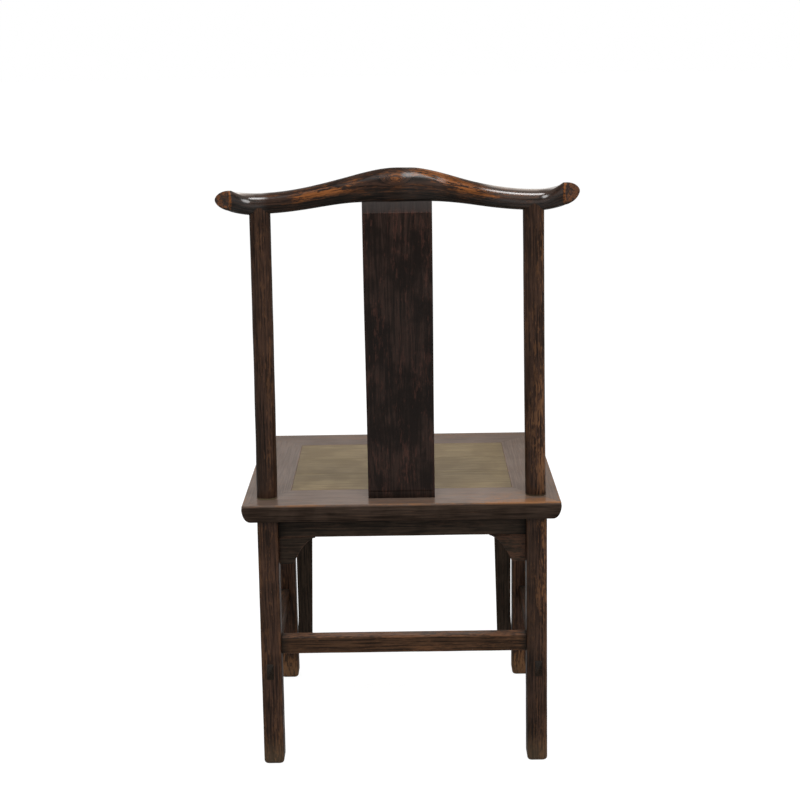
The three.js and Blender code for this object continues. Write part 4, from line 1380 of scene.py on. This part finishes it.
@dataclass(frozen=True)
class CrestRail:
    """The carved rail: a crown over the splat, arms that dip to the posts, and tips swept back."""

    arm_thickness: float = 0.0302
    arm_depth: float = 0.0314
    crown_thickness: float = 0.0506
    crown_depth: float = 0.035
    crown_rise: float = 0.0246
    crown_past_post: float = 0.003
    crown_half_width: float = 0.099
    crown_narrowing: float = 0.42
    tip_past_post: float = 0.005
    tip_sweep: float = 0.0228
    tip_depth: float = 0.027
    sweep_power: float = 1.8
    squareness: float = 2.0
    leaf_share: float = 0.93
    leaf_power: float = 2.5
    leaf_corner: float = 0.23
    leaf_shoulder: float = 0.85
    leaf_taper: float = 0.62
    cut_shear: float = 0.35
    end_length: float = 0.005
    end_rounding: float = 0.0012
    end_undercut: float = 0.0062
    end_inside: float = 0.002
    end_steps: tuple[float, ...] = (0.25, 0.5, 0.7, 0.85, 1.0, 1.1)
    fullness: float = 0.0028
    fullness_at: float = -0.055
    fullness_width: float = 0.045
    pillow_height: float = 0.0007
    pillow_half_top: float = 0.02
    pillow_spread: float = 0.079
    pillow_top: float = 0.0235
    pillow_edge: float = 0.014
    sway: float = 0.00015
    sides: int = 120
    left: CrestTip = CrestTip(0.0488, 0.0083, 0.0295, 0.0, 0.13, (0.072, 0.14, 0.68), (0.34, 0.22), 0.66)
    right: CrestTip = CrestTip(0.0502, 0.0112, 0.033, 0.003, 0.08, (0.04, 0.138, 0.74), (0.95, 0.08), 0.55)
    wear: CrestWear = CrestWear()
    legs: RearLegs = RearLegs()

    def reach(self, plan: Plan, end: CrestTip) -> float:
        """How far the middle of an end lies from the chair's middle."""
        return self.legs.post_at(plan, self.legs.crest_height)[0] + end.overhang

    def line(self, plan: Plan) -> float:
        """The place in y of the rail's middle line, where it isn't swept back."""
        return plan.seat_back - self.legs.inset + self.legs.post_lean

    def station(self, plan: Plan, along: float) -> CrestStation:
        """Places a section.

        Args:
            plan: the shared places.
            along: the signed distance from the middle.

        Returns:
            Its place, size and directions.
        """
        legs, x = self.legs, abs(along)
        hand, end = (1.0, self.left) if along >= 0 else (-1.0, self.right)
        post_x = legs.post_at(plan, legs.crest_height)[0]
        crown_length = post_x + self.crown_past_post
        tip_start, reach = post_x + self.tip_past_post, self.reach(plan, end)
        rise = self.crown_rise * (1 + cos(pi * min(x, crown_length) / crown_length)) / 2
        swell = 1 / (1 + (x / self.crown_half_width) ** 2) ** 2
        tip = max(0.0, (x - tip_start) / (reach - tip_start))
        bend = tip ** self.sweep_power
        slope = self.tip_sweep * self.sweep_power * tip ** (self.sweep_power - 1)
        turn = atan2(slope, reach - tip_start)
        return CrestStation(
            along, end, tip, swell,
            thickness=lerp(lerp(self.arm_thickness, self.crown_thickness, swell), end.thickness, tip ** 2),
            depth=lerp(lerp(self.arm_depth, self.crown_depth, swell), self.tip_depth, tip),
            centre=Vector((along, self.line(plan) + self.tip_sweep * bend,
                           legs.crest_height + rise + end.rise * bend)),
            back=Vector((-hand * sin(turn), cos(turn), 0.0)),
            outward=Vector((hand * cos(turn), sin(turn), 0.0)))

    def outline(self, spot: CrestStation) -> list[Flat]:
        """The section: an oval along the rail, and at the tips a leaf with its point to the front.

        Args:
            spot: the section's place and size.

        Returns:
            The section's points as (backward, up).
        """
        power = 2 / self.squareness
        blend = self.leaf_share * spot.tip ** self.leaf_power
        points = []
        for i in range(self.sides):
            angle = 2 * pi * (i + 0.5) / self.sides
            c, s = cos(angle), sin(angle)
            u, v = copysign(abs(c) ** power, c), copysign(abs(s) ** power, s)
            fold = min(angle, 2 * pi - angle) / pi
            if fold < self.leaf_corner:
                flat = fold / self.leaf_corner
                leaf_u, leaf_v = lerp(1.0, self.leaf_shoulder, flat ** 5), flat
            else:
                along = (fold - self.leaf_corner) / (1 - self.leaf_corner)
                leaf_u = lerp(self.leaf_shoulder, -1.0, along)
                leaf_v = max(0.0, 1 - along ** 2) ** self.leaf_taper
            u, v = lerp(u, leaf_u, blend), lerp(v, copysign(leaf_v, s), blend)
            lift = spot.end.point_lift * blend * ((1 - u) / 2) ** 2
            points.append((spot.depth / 2 * u, spot.thickness / 2 * v + lift))
        return points

    def pillow(self, x: float, v: float) -> float:
        """How far the face is cut back outside the slightly raised pillow in the middle of the crown."""
        half = self.pillow_half_top + self.pillow_spread * (self.pillow_top - v) / self.pillow_top
        outside = smooth((x - half) / self.pillow_edge + 0.5)
        return self.pillow_height * outside * (1.0 - smooth((x - 0.1) / 0.06))

    def surface(self, spot: CrestStation, turn_over: float, u: float, v: float) -> Vector:
        """Carves one point of a section.

        Args:
            spot: the section's place and size.
            turn_over: how far round the end's rounding it lies, as section has it.
            u: how far the point lies behind the section's middle.
            v: how far it lies above it.

        Returns:
            The point, in the chair's own coordinates.
        """
        half_up, half_back = spot.thickness / 2, spot.depth / 2
        height, backness = v / half_up, u / half_back
        angle = pi / 2 * min(1.0, turn_over)
        past, drawn = self.end_length * sin(angle), 1.0 - cos(angle)
        inside = self.end_inside if turn_over > 1.0 else 0.0
        sway = self.sway * (noise.noise(Vector((spot.along * 19.0, u * 60.0, v * 60.0))) - 1.0)
        if v > 0:
            off = (spot.along - self.fullness_at) / self.fullness_width
            fullness = self.fullness * exp(-off ** 2) * smooth(-spot.along / 0.03)
            up = v * (1 - (self.end_rounding * drawn + inside) / half_up) + (sway + fullness * height)
        else:
            cut = lerp(self.end_rounding, self.end_undercut, smooth(-height * 1.2) * (1 + backness) / 2)
            belly = spot.end.belly * smooth(spot.tip / 0.2) * (1 - 0.4 * smooth((spot.tip - 0.8) / 0.2))
            up = v * (1 - (cut * drawn + inside) / half_up) * (1 + belly) - sway
        back = u * (1 - (self.end_rounding * drawn + inside) / half_back)
        narrow = 1 - self.crown_narrowing * spot.swell * max(0.0, height) ** 2
        pillow = self.pillow(abs(spot.along), v) if u > 0 else 0.0
        shear = self.cut_shear * smooth((spot.tip - 0.3) / 0.7)
        return (spot.centre + spot.back * (back * narrow - pillow) + Vector((0, 0, up))
                + spot.outward * (past - back * shear))

    def section(self, plan: Plan, along: float, turn_over: float = 0.0) -> Ring:
        """One section of the rail.

        Args:
            plan: the shared places.
            along: the signed distance from the middle.
            turn_over: 0 for a plain section; at an end, how far round its rounding the section lies,
                up to 1 on the end's face, and above 1 inside the face.

        Returns:
            The ring.
        """
        spot = self.station(plan, along)
        points, grain, values = [], [], []
        for u, v in self.outline(spot):
            points.append(self.surface(spot, turn_over, u, v))
            knot = self.wear.knot(along, v)
            push_u, push_v = (push * knot for push in self.wear.knot_push)
            grain.append(Vector((u + push_u, v + push_v, along)))
            values.append(self.wear.values(spot.end, along, turn_over, v / (spot.thickness / 2),
                                           u / (spot.depth / 2), knot))
        edges, darkness, bares, polishes = (list(column) for column in zip(*values))
        dust = self.wear.face_dust if turn_over >= 1.0 else 0.0
        return Ring.of(points, grain, edges, darkness, bares, polishes, dust)

    def build(self, shop: Workshop) -> None:
        """Builds the rail from one tip to the other."""
        right, left = self.reach(shop.plan, self.right), self.reach(shop.plan, self.left)
        first, last = ([self.section(shop.plan, along, turn_over) for turn_over in self.end_steps]
                       for along in (-right, left))
        rings = [*reversed(first), *(self.section(shop.plan, x) for x in spread(-right, left, 261)), *last]
        shop.finish(skin("crest_rail", rings, crease=48.0), "crest_wood", "crest_rail")


@dataclass(frozen=True)
class Splat:
    """The broad curved board in the middle of the back."""

    bottom_width: float = 0.1053
    top_width: float = 0.1036
    thickness: float = 0.010
    inset: float = 0.034
    swing: float = 0.009
    corner: float = 0.0013
    border: float = 0.004
    rebate_below_crown: float = 0.0155
    rebate_depth: float = 0.0008
    rebate_step: float = 0.0004
    rebate_bare: float = 0.4
    # a pale band painted from the rebate up to the crest, paler towards the top: a painted reflection
    rebate_dust: Flat = (0.45, 1.1)
    line_above_seat: float = 0.0105
    line_half: float = 0.0008
    line_depth: float = 0.0005
    line_grime: float = 0.5
    joint_grime: float = 0.9
    joint_height: float = 0.004
    crest: CrestRail = CrestRail()

    @property
    def crown(self) -> float:
        """The height of the crown's middle, where the board ends inside the rail."""
        return self.crest.legs.crest_height + self.crest.crown_rise

    @property
    def under(self) -> float:
        """The height of the crown's underside."""
        return self.crown - self.crest.crown_thickness / 2

    def line(self, plan: Plan, z: float) -> float:
        """The board's place in y at a height: it leans back and curves like the sitter's spine."""
        up = (z - plan.seat_top) / (self.under - plan.seat_top)
        leaning = lerp(plan.seat_back - self.inset, self.crest.line(plan), up)
        return leaning - self.swing * sin(2 * pi * up)

    def build(self, shop: Workshop) -> None:
        """Builds the board, with the rebate under the rail and the scribed line above the seat."""
        plan = shop.plan
        bottom = plan.seat_top + plan.gap
        rebate, scribe = self.under - self.rebate_below_crown, plan.seat_top + self.line_above_seat
        marks = [scribe - self.line_half, scribe, scribe + self.line_half,
                 rebate - self.rebate_step, rebate + self.rebate_step]
        rings = []
        for z in sorted(spread(bottom, self.crown, 72) + marks):
            up = (z - bottom) / (self.crown - bottom)
            half = lerp(self.bottom_width, self.top_width, up) / 2
            cut = self.line_depth if z == scribe else (self.rebate_depth if z > rebate else 0.0)
            outline = rounded_square(half, self.thickness / 2, self.corner, self.border)
            y, face = self.line(plan, z), self.thickness / 2 - cut
            points = [Vector((u, y + min(v, face), z)) for u, v, _ in outline]
            # painted reflection: a pale band from the rebate up to the crest, paler towards the top
            dust = lerp(*self.rebate_dust, (z - rebate) / (self.under - rebate)) if z > rebate else 0.0
            rings.append(Ring.of(
                points, [Vector((u, v, z)) for u, v, _ in outline], [edge for _, _, edge in outline],
                grime=self.joint_grime * (1 - smooth((z - bottom) / self.joint_height))
                + (self.line_grime if z == scribe else 0.0),
                bare=self.rebate_bare if abs(z - rebate) < 1.5 * self.rebate_step else 0.0,
                polish=0.0 if z > rebate else 1.0, dust=dust))
        shop.finish(skin("back_splat", rings), "splat_wood", "back_splat")


# The seat: a mitred frame round a floating panel of three boards

@dataclass(frozen=True)
class SeatFrame:
    """Four mitred rails with a rounded outer edge that draws in below."""

    rear_width: float = 0.077
    front_width: float = 0.067
    side_width: float = 0.071
    bulge_drop: float = 0.006
    undercut: float = 0.017
    widest_share: float = 0.5
    turn_share: float = 0.25
    arris: float = 0.0013
    border: float = 0.0045
    inner_arris: float = 0.0006
    inner_border: float = 0.003
    mitre_gap: float = 0.00005
    mitre_grime: float = 0.3
    mitre_reach: float = 0.004
    left_proud: float = 0.0017
    right_proud: float = 0.0007
    sway: float = 0.00015
    soil_depth: float = 0.003
    front_soil: float = 0.2
    border_bare: float = 0.8
    side_bare: float = 0.3

    def soiled(self, plan: Plan, y: float, z: float) -> float:
        """How dark a point is: the outer face keeps its old dark stain, the top only some at the front."""
        return max(smooth((plan.seat_top - z - self.arris) / self.soil_depth),
                   self.front_soil * smooth((plan.seat_front + 0.15 - y) / 0.11))

    def profile(self, plan: Plan, width: float) -> Outline:
        """The rail's section, from the top's outer border round to its inner edge.

        Args:
            plan: the shared places.
            width: the rail's width.

        Returns:
            The section's points, as (outward, z, edge).
        """
        top, low, bulge = plan.seat_top, plan.frame_bottom, plan.bulge
        a, b = Vector((bulge, top - self.bulge_drop)), Vector((bulge, lerp(top, low, self.widest_share)))
        c, d = Vector((-self.undercut * self.turn_share, low)), Vector((-self.undercut, low))
        outline: Outline = [(-self.border, top, 0.0)]
        for angle in spread(pi / 2, 0.0, 5):
            outline.append((self.arris * (cos(angle) - 1),
                            top - self.arris * (1 - sin(angle)), 1.0))
        outline.append((bulge * 0.5, top - self.arris - self.border * 0.6, 0.2))
        for t in spread(0.0, 1.0, 13):
            point = (1 - t) ** 3 * a + 3 * t * (1 - t) ** 2 * b + 3 * t * t * (1 - t) * c + t ** 3 * d
            outline.append((point.x, point.y, 0.0))
        border, arris = self.inner_border - width, self.inner_arris
        outline += [(border, low, 0.0), (-width, low + 2 * arris, 0.6), (-width, lerp(low, top, 0.5), 0.0)]
        outline += [(-width, top - arris, 0.5), (arris - width, top, 0.5), (border, top, 0.0)]
        return outline

    def rail(self, shop: Workshop, name: str, width: float, ends: tuple[Flat, Flat],
             place: Callable[[float, float, float], Vector], rubbed: Callable[[float], float]) -> None:
        """Builds one rail.

        Args:
            shop: the workshop.
            name: the node that it stands for.
            width: the rail's width.
            ends: for each end, where it lies at the outer face and at the inner face.
            place: puts (along, outward, z) into the chair.
            rubbed: how bare the outer arris is, from how far along it lies.
        """
        plan, profile = shop.plan, self.profile(shop.plan, width)
        rings = []
        for share in [0.0, 0.004, 0.012] + spread(0.03, 0.97, 30) + [0.988, 0.996, 1.0]:
            from_end = min(share, 1 - share)
            seam = self.mitre_grime * (1.0 - smooth(from_end / self.mitre_reach))
            points, grain, darkness, bares, polishes = [], [], [], [], []
            for outward, z, edge in profile:
                along = lerp(lerp(*ends[0], -outward / width) + self.mitre_gap,
                             lerp(*ends[1], -outward / width) - self.mitre_gap, share)
                sway = self.sway * (noise.noise(Vector((along * 14.0, z * 20.0, outward * 8.0))) - 1.0)
                sway *= smooth(from_end / 0.05) if z < plan.seat_top - 0.0001 else 0.0
                points.append(place(along, outward + sway, z))
                grain.append(Vector((outward, z, along)))
                soil = self.soiled(plan, points[-1].y, z)
                darkness.append(max(seam, soil))
                bares.append(rubbed(along) * max(edge, self.border_bare if outward == -self.border else 0.0))
                polishes.append(1.0 - 0.9 * soil)
            rings.append(Ring.of(points, grain, [edge for _, _, edge in profile], darkness, bares, polishes))
        shop.finish(skin(name, rings, crease=30.0), "seat_frame_wood", name)

    def build(self, shop: Workshop) -> None:
        """Builds the four rails, mitred at the corners: the rear one is barest on its right."""
        plan = shop.plan
        half, back, front = plan.seat_half, plan.seat_back, plan.seat_front
        inner = half - self.side_width
        wide = ((-half - self.right_proud, -inner), (half + self.left_proud, inner))
        self.rail(shop, "seat_rail_rear", self.rear_width, wide, lambda s, u, z: Vector((s, back + u, z)),
                  lambda s: 0.25 + 0.8 * smooth((-s - 0.04) / 0.14))
        self.rail(shop, "seat_rail_front", self.front_width, wide, lambda s, u, z: Vector((s, front - u, z)),
                  lambda s: 0.7 - 0.4 * smooth((abs(s) - 0.12) / 0.1))
        deep = ((front, front + self.front_width), (back, back - self.rear_width))
        for side, proud in ((Side.LEFT, self.left_proud), (Side.RIGHT, self.right_proud)):
            self.rail(shop, f"seat_rail_{side.label}", self.side_width + proud, deep,
                      lambda s, u, z, sign=side.value, face=half + proud: Vector((sign * (face + u), s, z)),
                      lambda s: self.side_bare)


@dataclass(frozen=True)
class SeatPanel:
    """Three boards let into the frame, and the two battens under them."""

    rounding: float = 0.00015
    seam: float = 0.0001
    seam_grime: float = 0.15
    batten_width: float = 0.026
    batten_depth: float = 0.018
    batten_rounding: float = 0.0012
    frame: SeatFrame = SeatFrame()

    def build(self, shop: Workshop) -> None:
        """Builds the boards flush with the frame, and the battens below."""
        plan = shop.plan
        inner = plan.seat_half - self.frame.side_width - self.seam
        rear, front = plan.seat_back - self.frame.rear_width, plan.seat_front + self.frame.front_width
        for name in ("seat_board_rear", "seat_board_middle", "seat_board_front"):
            low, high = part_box(name)
            high_y = min(high.y + self.seam, rear - self.seam)
            low_y = max(low.y - self.seam, front + self.seam)
            y, z = (high_y + low_y) / 2, (low.z + high.z) / 2
            shop.bar(name, "seat_panel_wood", Vector((-inner, y, z)), Vector((inner, y, z)),
                     (high_y - low_y, high.z - low.z), self.rounding, wobble=0.0,
                     end_grime=self.seam_grime)
        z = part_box("seat_board_middle")[0].z - plan.gap - self.batten_depth / 2
        for side in Side:
            name = f"seat_batten_{side.label}"
            low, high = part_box(name)
            x = (low.x + high.x) / 2
            shop.bar(name, "batten_wood", Vector((x, front + plan.gap, z)), Vector((x, rear - plan.gap, z)),
                     (self.batten_width, self.batten_depth), self.batten_rounding)


# The base: front legs, aprons with their brackets, the front boards and the stretchers

@dataclass(frozen=True)
class FrontLegs(SquareLegs):
    """The two legs under the front corners of the seat."""

    row: str = "front"
    to_seat: float = 1.0
    side_inset: float = 0.0328
    inset: float = 0.039
    splay_out: float = 0.0015
    splay_deep: float = 0.0025
    bare_foot: float = 1.0


@dataclass(frozen=True)
class Aprons:
    """The boards under the seat on three sides, with a small curved bracket at each end."""

    thickness: float = 0.014
    rounding: float = 0.0011
    spandrel_drop: float = 0.0455
    spandrel_length: float = 0.059
    spandrel_foot: float = 0.0225
    bend_along_share: float = 0.42
    bend_down_share: float = 0.16
    drop: float = 0.034
    bare_bracket: float = 0.55
    rear: RearLegs = RearLegs()
    front: FrontLegs = FrontLegs()

    def bracket(self, shop: Workshop, name: str, run: Run, face: Callable[[float], float],
                inward: float) -> None:
        """Builds one bracket.

        Args:
            shop: the workshop.
            name: the node that it stands for.
            run: which way its apron runs.
            face: the leg's face at a height.
            inward: the sign of the way from that leg to the apron's middle.
        """
        low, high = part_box(name)
        near, far = (low.y, high.y) if run is Run.ACROSS else (low.x, high.x)
        gap = shop.plan.gap
        top = shop.plan.frame_bottom - self.drop - gap
        foot = shop.plan.frame_bottom - self.drop - self.spandrel_drop

        def at(along: float, z: float) -> Vector:
            """A point of the outline, measured from the leg's face."""
            return Vector((face(z) + inward * (gap + along), z))

        bend = at(lerp(self.spandrel_foot, self.spandrel_length, self.bend_along_share),
                  lerp(top, foot, self.bend_down_share))
        start, end = at(self.spandrel_foot, foot), at(self.spandrel_length, top)
        curve = [(1 - t) ** 2 * start + 2 * t * (1 - t) * bend + t * t * end for t in spread(0, 1, 17)]
        corners = [tuple(point) for point in (at(0, top), at(0, foot), *curve)]
        bare = self.bare_bracket if name == "rear_spandrel_right" else 0.0
        piece = StandingBoard(run, Fibre.LEVEL, near, far).build(name, corners, bare)
        shop.finish(piece, "apron_wood", name)

    def apron(self, shop: Workshop, name: str, start: Flat, end: Flat) -> None:
        """Builds one straight board between two legs, from one (x, y) to another."""
        top, bottom = shop.plan.under_frame, shop.plan.frame_bottom - self.drop
        start, end = (Vector((*place, (top + bottom) / 2)) for place in (start, end))
        shop.bar(name, "apron_wood", start, end, (self.thickness, top - bottom), self.rounding)

    def build(self, shop: Workshop) -> None:
        """Builds the three aprons and their six brackets."""
        plan = shop.plan
        before, behind = partial(self.front.seat_face, plan), partial(self.rear.seat_face, plan)
        middle = plan.frame_bottom - self.drop / 2
        low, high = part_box("rear_apron")
        reach, y = self.rear.inner(plan, middle) - plan.gap, (low.y + high.y) / 2
        self.apron(shop, "rear_apron", (-reach, y), (reach, y))
        for side in Side:
            sign, label = side.value, side.label
            self.bracket(shop, f"rear_spandrel_{label}", Run.ACROSS,
                         lambda z, sign=sign: sign * self.rear.inner(plan, z), -sign)
            low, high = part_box(f"{label}_apron")
            x = (low.x + high.x) / 2
            self.apron(shop, f"{label}_apron", (x, before(middle) + plan.gap), (x, behind(middle) - plan.gap))
            self.bracket(shop, f"{label}_spandrel_rear", Run.DEEP, behind, -1.0)
            self.bracket(shop, f"{label}_spandrel_front", Run.DEEP, before, 1.0)


@dataclass(frozen=True)
class FrontBoards:
    """The board under the front rail and the two long upright boards inside the front legs."""

    apron_drop: float = 0.030
    jamb_drop: float = 0.062
    top_width: float = 0.034
    foot_width: float = 0.0272
    knee_height_share: float = 0.67
    knee_width_share: float = 0.75
    shrinkage: float = 0.0026
    legs: FrontLegs = FrontLegs()

    def build(self, shop: Workshop) -> None:
        """Builds the three boards."""
        plan, gap = shop.plan, shop.plan.gap
        low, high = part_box("front_jamb_left")
        board = StandingBoard(Run.ACROSS, Fibre.LEVEL, low.y, high.y)
        upright = StandingBoard(Run.ACROSS, Fibre.UPRIGHT, low.y, high.y)
        jamb_top = plan.frame_bottom - self.jamb_drop
        top = plan.under_frame
        radius = plan.frame_bottom - self.apron_drop - jamb_top
        opening = self.legs.inner(plan, jamb_top) - self.top_width
        arc = [(opening - radius + radius * cos(a), jamb_top + radius * sin(a))
               for a in spread(0, pi / 2, 15)]
        reach, reach_top = (self.legs.inner(plan, z) - gap for z in (jamb_top, top))
        corners = [(-reach, jamb_top), *((-x, z) for x, z in arc), *reversed(arc), (reach, jamb_top),
                   (reach_top, top), (-reach_top, top)]
        shop.finish(board.build("front_apron", corners), "apron_wood", "front_apron")
        foot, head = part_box("front_footrest")[1].z + gap, jamb_top - gap
        knee = lerp(foot, head, self.knee_height_share)
        knee_width = lerp(self.foot_width, self.top_width, self.knee_width_share)
        hollow = [(z, gap + self.shrinkage * smooth(sin(pi * (z - foot) / (head - foot)) / 0.6))
                  for z in spread(foot, head, 25)]
        widths = [*hollow, (head, self.top_width), (knee, knee_width), (foot, self.foot_width)]
        for side in Side:
            name = f"front_jamb_{side.label}"
            outline = [(side.value * (self.legs.inner(plan, z) - width), z) for z, width in widths]
            shop.finish(upright.build(name, outline), "apron_wood", name)


@dataclass(frozen=True)
class Stretchers:
    """Four bars that step up from the front to the back, the side ones tenoned through the rear legs."""

    rounding: float = 0.0024
    rear_wear: float = 0.7
    footrest_wear: float = 0.75
    side_wear: float = 0.15
    tenon_thickness: float = 0.0115
    tenon_proud: float = 0.00025
    tenon_depth: float = 0.004
    tenon_rounding: float = 0.0008
    rear: RearLegs = RearLegs()
    front: FrontLegs = FrontLegs()

    def build(self, shop: Workshop) -> None:
        """Builds the rear bar, the two side bars with their through tenons, and the footrest."""
        plan = shop.plan
        for name, legs, wear in (("rear_stretcher", self.rear, self.rear_wear),
                                 ("front_footrest", self.front, self.footrest_wear)):
            low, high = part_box(name)
            reach = legs.inner(plan, high.z) - plan.gap
            y, z = (low.y + high.y) / 2, (low.z + high.z) / 2
            shop.bar(name, "stretcher_wood", Vector((-reach, y, z)), Vector((reach, y, z)),
                     (high.y - low.y, high.z - low.z), self.rounding, top_wear=wear)
        for side in Side:
            name = f"{side.label}_stretcher"
            low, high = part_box(name)
            x, z, height = (low.x + high.x) / 2, (low.z + high.z) / 2, high.z - low.z
            end = Vector((x, self.rear.seat_face(plan, high.z) - plan.gap, z))
            shop.bar(name, "stretcher_wood", Vector((x, self.front.seat_face(plan, low.z) + plan.gap, z)),
                     end, (high.x - low.x, height), self.rounding, top_wear=self.side_wear)
            middle = (side.value * self.rear.leg_at(plan, high.z)[0] + x) / 2
            tenon = shop.bars.bar(name + "_tenon", Vector((middle, end.y - self.tenon_depth, z)),
                                  Vector((middle, high.y + self.tenon_proud, z)),
                                  (self.tenon_thickness, height - self.tenon_rounding), self.tenon_rounding,
                                  shop.materials["apron_wood"], wobble=0.0)
            shop.finish(tenon, "stretcher_wood", name)


# The studio

@dataclass(frozen=True)
class Studio:
    """A pale floor, a white surround, soft lamps and the photograph's camera."""

    floor_half: float = 40.0
    floor_paint: float = 0.6
    seen_paint: float = 0.22
    seen_glow: float = 0.93
    eye: Colour = (-0.0117, 2.2691, 1.17)
    pitch: float = -14.537
    heading: float = 0.32
    roll: float = 0.917
    lens: float = 63.284
    lamp_target: Colour = (0.0, 0.0, 0.5)
    world_level: float = 0.4
    dim_side: float = 0.22
    gloss_levels: Flat = (0.95, 1.9)
    warm_white: Colour = (1.0, 0.9, 0.81)

    def build(self) -> None:
        """Builds everything that isn't the chair."""
        self._floor()
        self._world()
        self._lamp("key_lamp", Vector((1.6, 2.6, 2.2)), (1.5, 1.5), 25.0)
        self._lamp("fill_lamp", Vector((-2.0, 2.4, 1.8)), (1.6, 1.6), 27.0)
        self._lamp("top_lamp", Vector((0.0, 1.1, 3.0)), (2.4, 0.75), 34.0)
        self._lamp("front_lamp", Vector((0.6, -2.6, 2.0)), (2.4, 2.4), 16.0)
        self._camera()

    def _floor(self) -> None:
        """A pale floor that keeps the chair's shadow and shows white to the camera."""
        half = self.floor_half
        mesh = bpy.data.meshes.new("studio_floor")
        mesh.from_pydata([(-half, -half, 0), (half, -half, 0), (half, half, 0), (-half, half, 0)], [],
                         [[0, 1, 2, 3]])
        floor = placed("studio_floor", mesh)
        material = bpy.data.materials.new("studio_floor")
        desk = NodeDesk.on(material)
        paint, seen_paint = (desk.put("ShaderNodeBsdfDiffuse", Color=(level, level, level, 1.0)).outputs[0]
                             for level in (self.floor_paint, self.seen_paint))
        glow = desk.put("ShaderNodeEmission", Strength=self.seen_glow).outputs[0]
        white = desk.put("ShaderNodeAddShader")
        both = desk.put("ShaderNodeMixShader", Fac=desk.put("ShaderNodeLightPath").outputs["Is Camera Ray"])
        for socket, shader in ((white.inputs[0], seen_paint), (white.inputs[1], glow),
                               (both.inputs[1], paint), (both.inputs[2], white.outputs[0])):
            desk.feed(socket, shader)
        desk.put("ShaderNodeOutputMaterial", Surface=both.outputs[0])
        mesh.materials.append(material)

    def _world(self) -> None:
        """A surround that is white where it is seen or mirrored, and soft where it lights the chair."""
        world = bpy.data.worlds.new("studio")
        bpy.context.scene.world = world
        desk = NodeDesk.on(world)
        path = desk.put("ShaderNodeLightPath").outputs
        way = desk.put("ShaderNodeTexCoord").outputs["Generated"]
        parts = desk.put("ShaderNodeSeparateXYZ", Vector=way).outputs
        ahead = desk.times(parts["Y"], -1.0)
        mirrored = desk.math("MAXIMUM", path["Is Glossy Ray"], path["Is Transmission Ray"])
        in_gloss = desk.times(desk.ramp(ahead, 0.1, 0.6, self.dim_side, 1.0),
                              desk.ramp(parts["Z"], 0.17, 0.35, self.dim_side, 1.0))
        in_gloss = desk.times(in_gloss, desk.ramp(parts["X"], 0.1, -0.1, *self.gloss_levels))
        plain = desk.times(desk.math("SUBTRACT", 1.0, mirrored), self.world_level)
        level = desk.math("ADD", plain, desk.times(mirrored, in_gloss))
        level = desk.math("MAXIMUM", level, path["Is Camera Ray"])
        colour = desk.mix(mirrored, (1.0, 1.0, 1.0), self.warm_white)
        light = desk.put("ShaderNodeBackground", Color=colour, Strength=level)
        desk.put("ShaderNodeOutputWorld", Surface=light.outputs[0])

    def _lamp(self, name: str, place: Vector, size: Flat, power: float) -> None:
        """Hangs a soft lamp, round or oval, that faces the chair's seat.

        Args:
            name: the lamp's name.
            place: where it hangs.
            size: its width and height.
            power: in watts.
        """
        data = bpy.data.lights.new(name, "AREA")
        data.shape = "ELLIPSE"
        data.size, data.size_y = size
        data.energy = power
        lamp = placed(name, data)
        lamp.location = place
        lamp.rotation_euler = (Vector(self.lamp_target) - place).to_track_quat("-Z", "Y").to_euler()

    def _camera(self) -> None:
        """The photograph's view: from behind, a little above the crest rail, with a slight roll."""
        pitch, heading, roll = (radians(a) for a in (self.pitch, self.heading, self.roll))
        ahead = Vector((sin(heading) * cos(pitch), -cos(heading) * cos(pitch),
                        sin(pitch)))
        level = ahead.cross(Vector((0, 0, 1))).normalized()
        upright = level.cross(ahead)
        right = level * cos(roll) - upright * sin(roll)
        up = upright * cos(roll) + level * sin(roll)
        data = bpy.data.cameras.new("photo_camera")
        data.lens = self.lens
        data.sensor_width = 36.0
        camera = placed("photo_camera", data)
        turn = Matrix((right, up, -ahead)).transposed()
        camera.matrix_world = Matrix.Translation(Vector(self.eye)) @ turn.to_4x4()
        bpy.context.scene.camera = camera
        bpy.context.scene.view_settings.view_transform = "Standard"


def main() -> None:
    """Builds the studio and the chair."""
    logging.basicConfig(level=logging.INFO, format="%(message)s")
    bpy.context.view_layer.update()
    Studio().build()
    effects = WoodEffects()
    shop = Workshop(Plan.read(), BarTree(), {wood.slot: wood.build(effects) for wood in FINISHES})
    for part in (CrestRail(), Splat(), RearLegs(), SeatFrame(), SeatPanel(), FrontLegs(), Aprons(),
                 FrontBoards(), Stretchers()):
        part.build(shop)


if __name__ == "__main__":
    main()
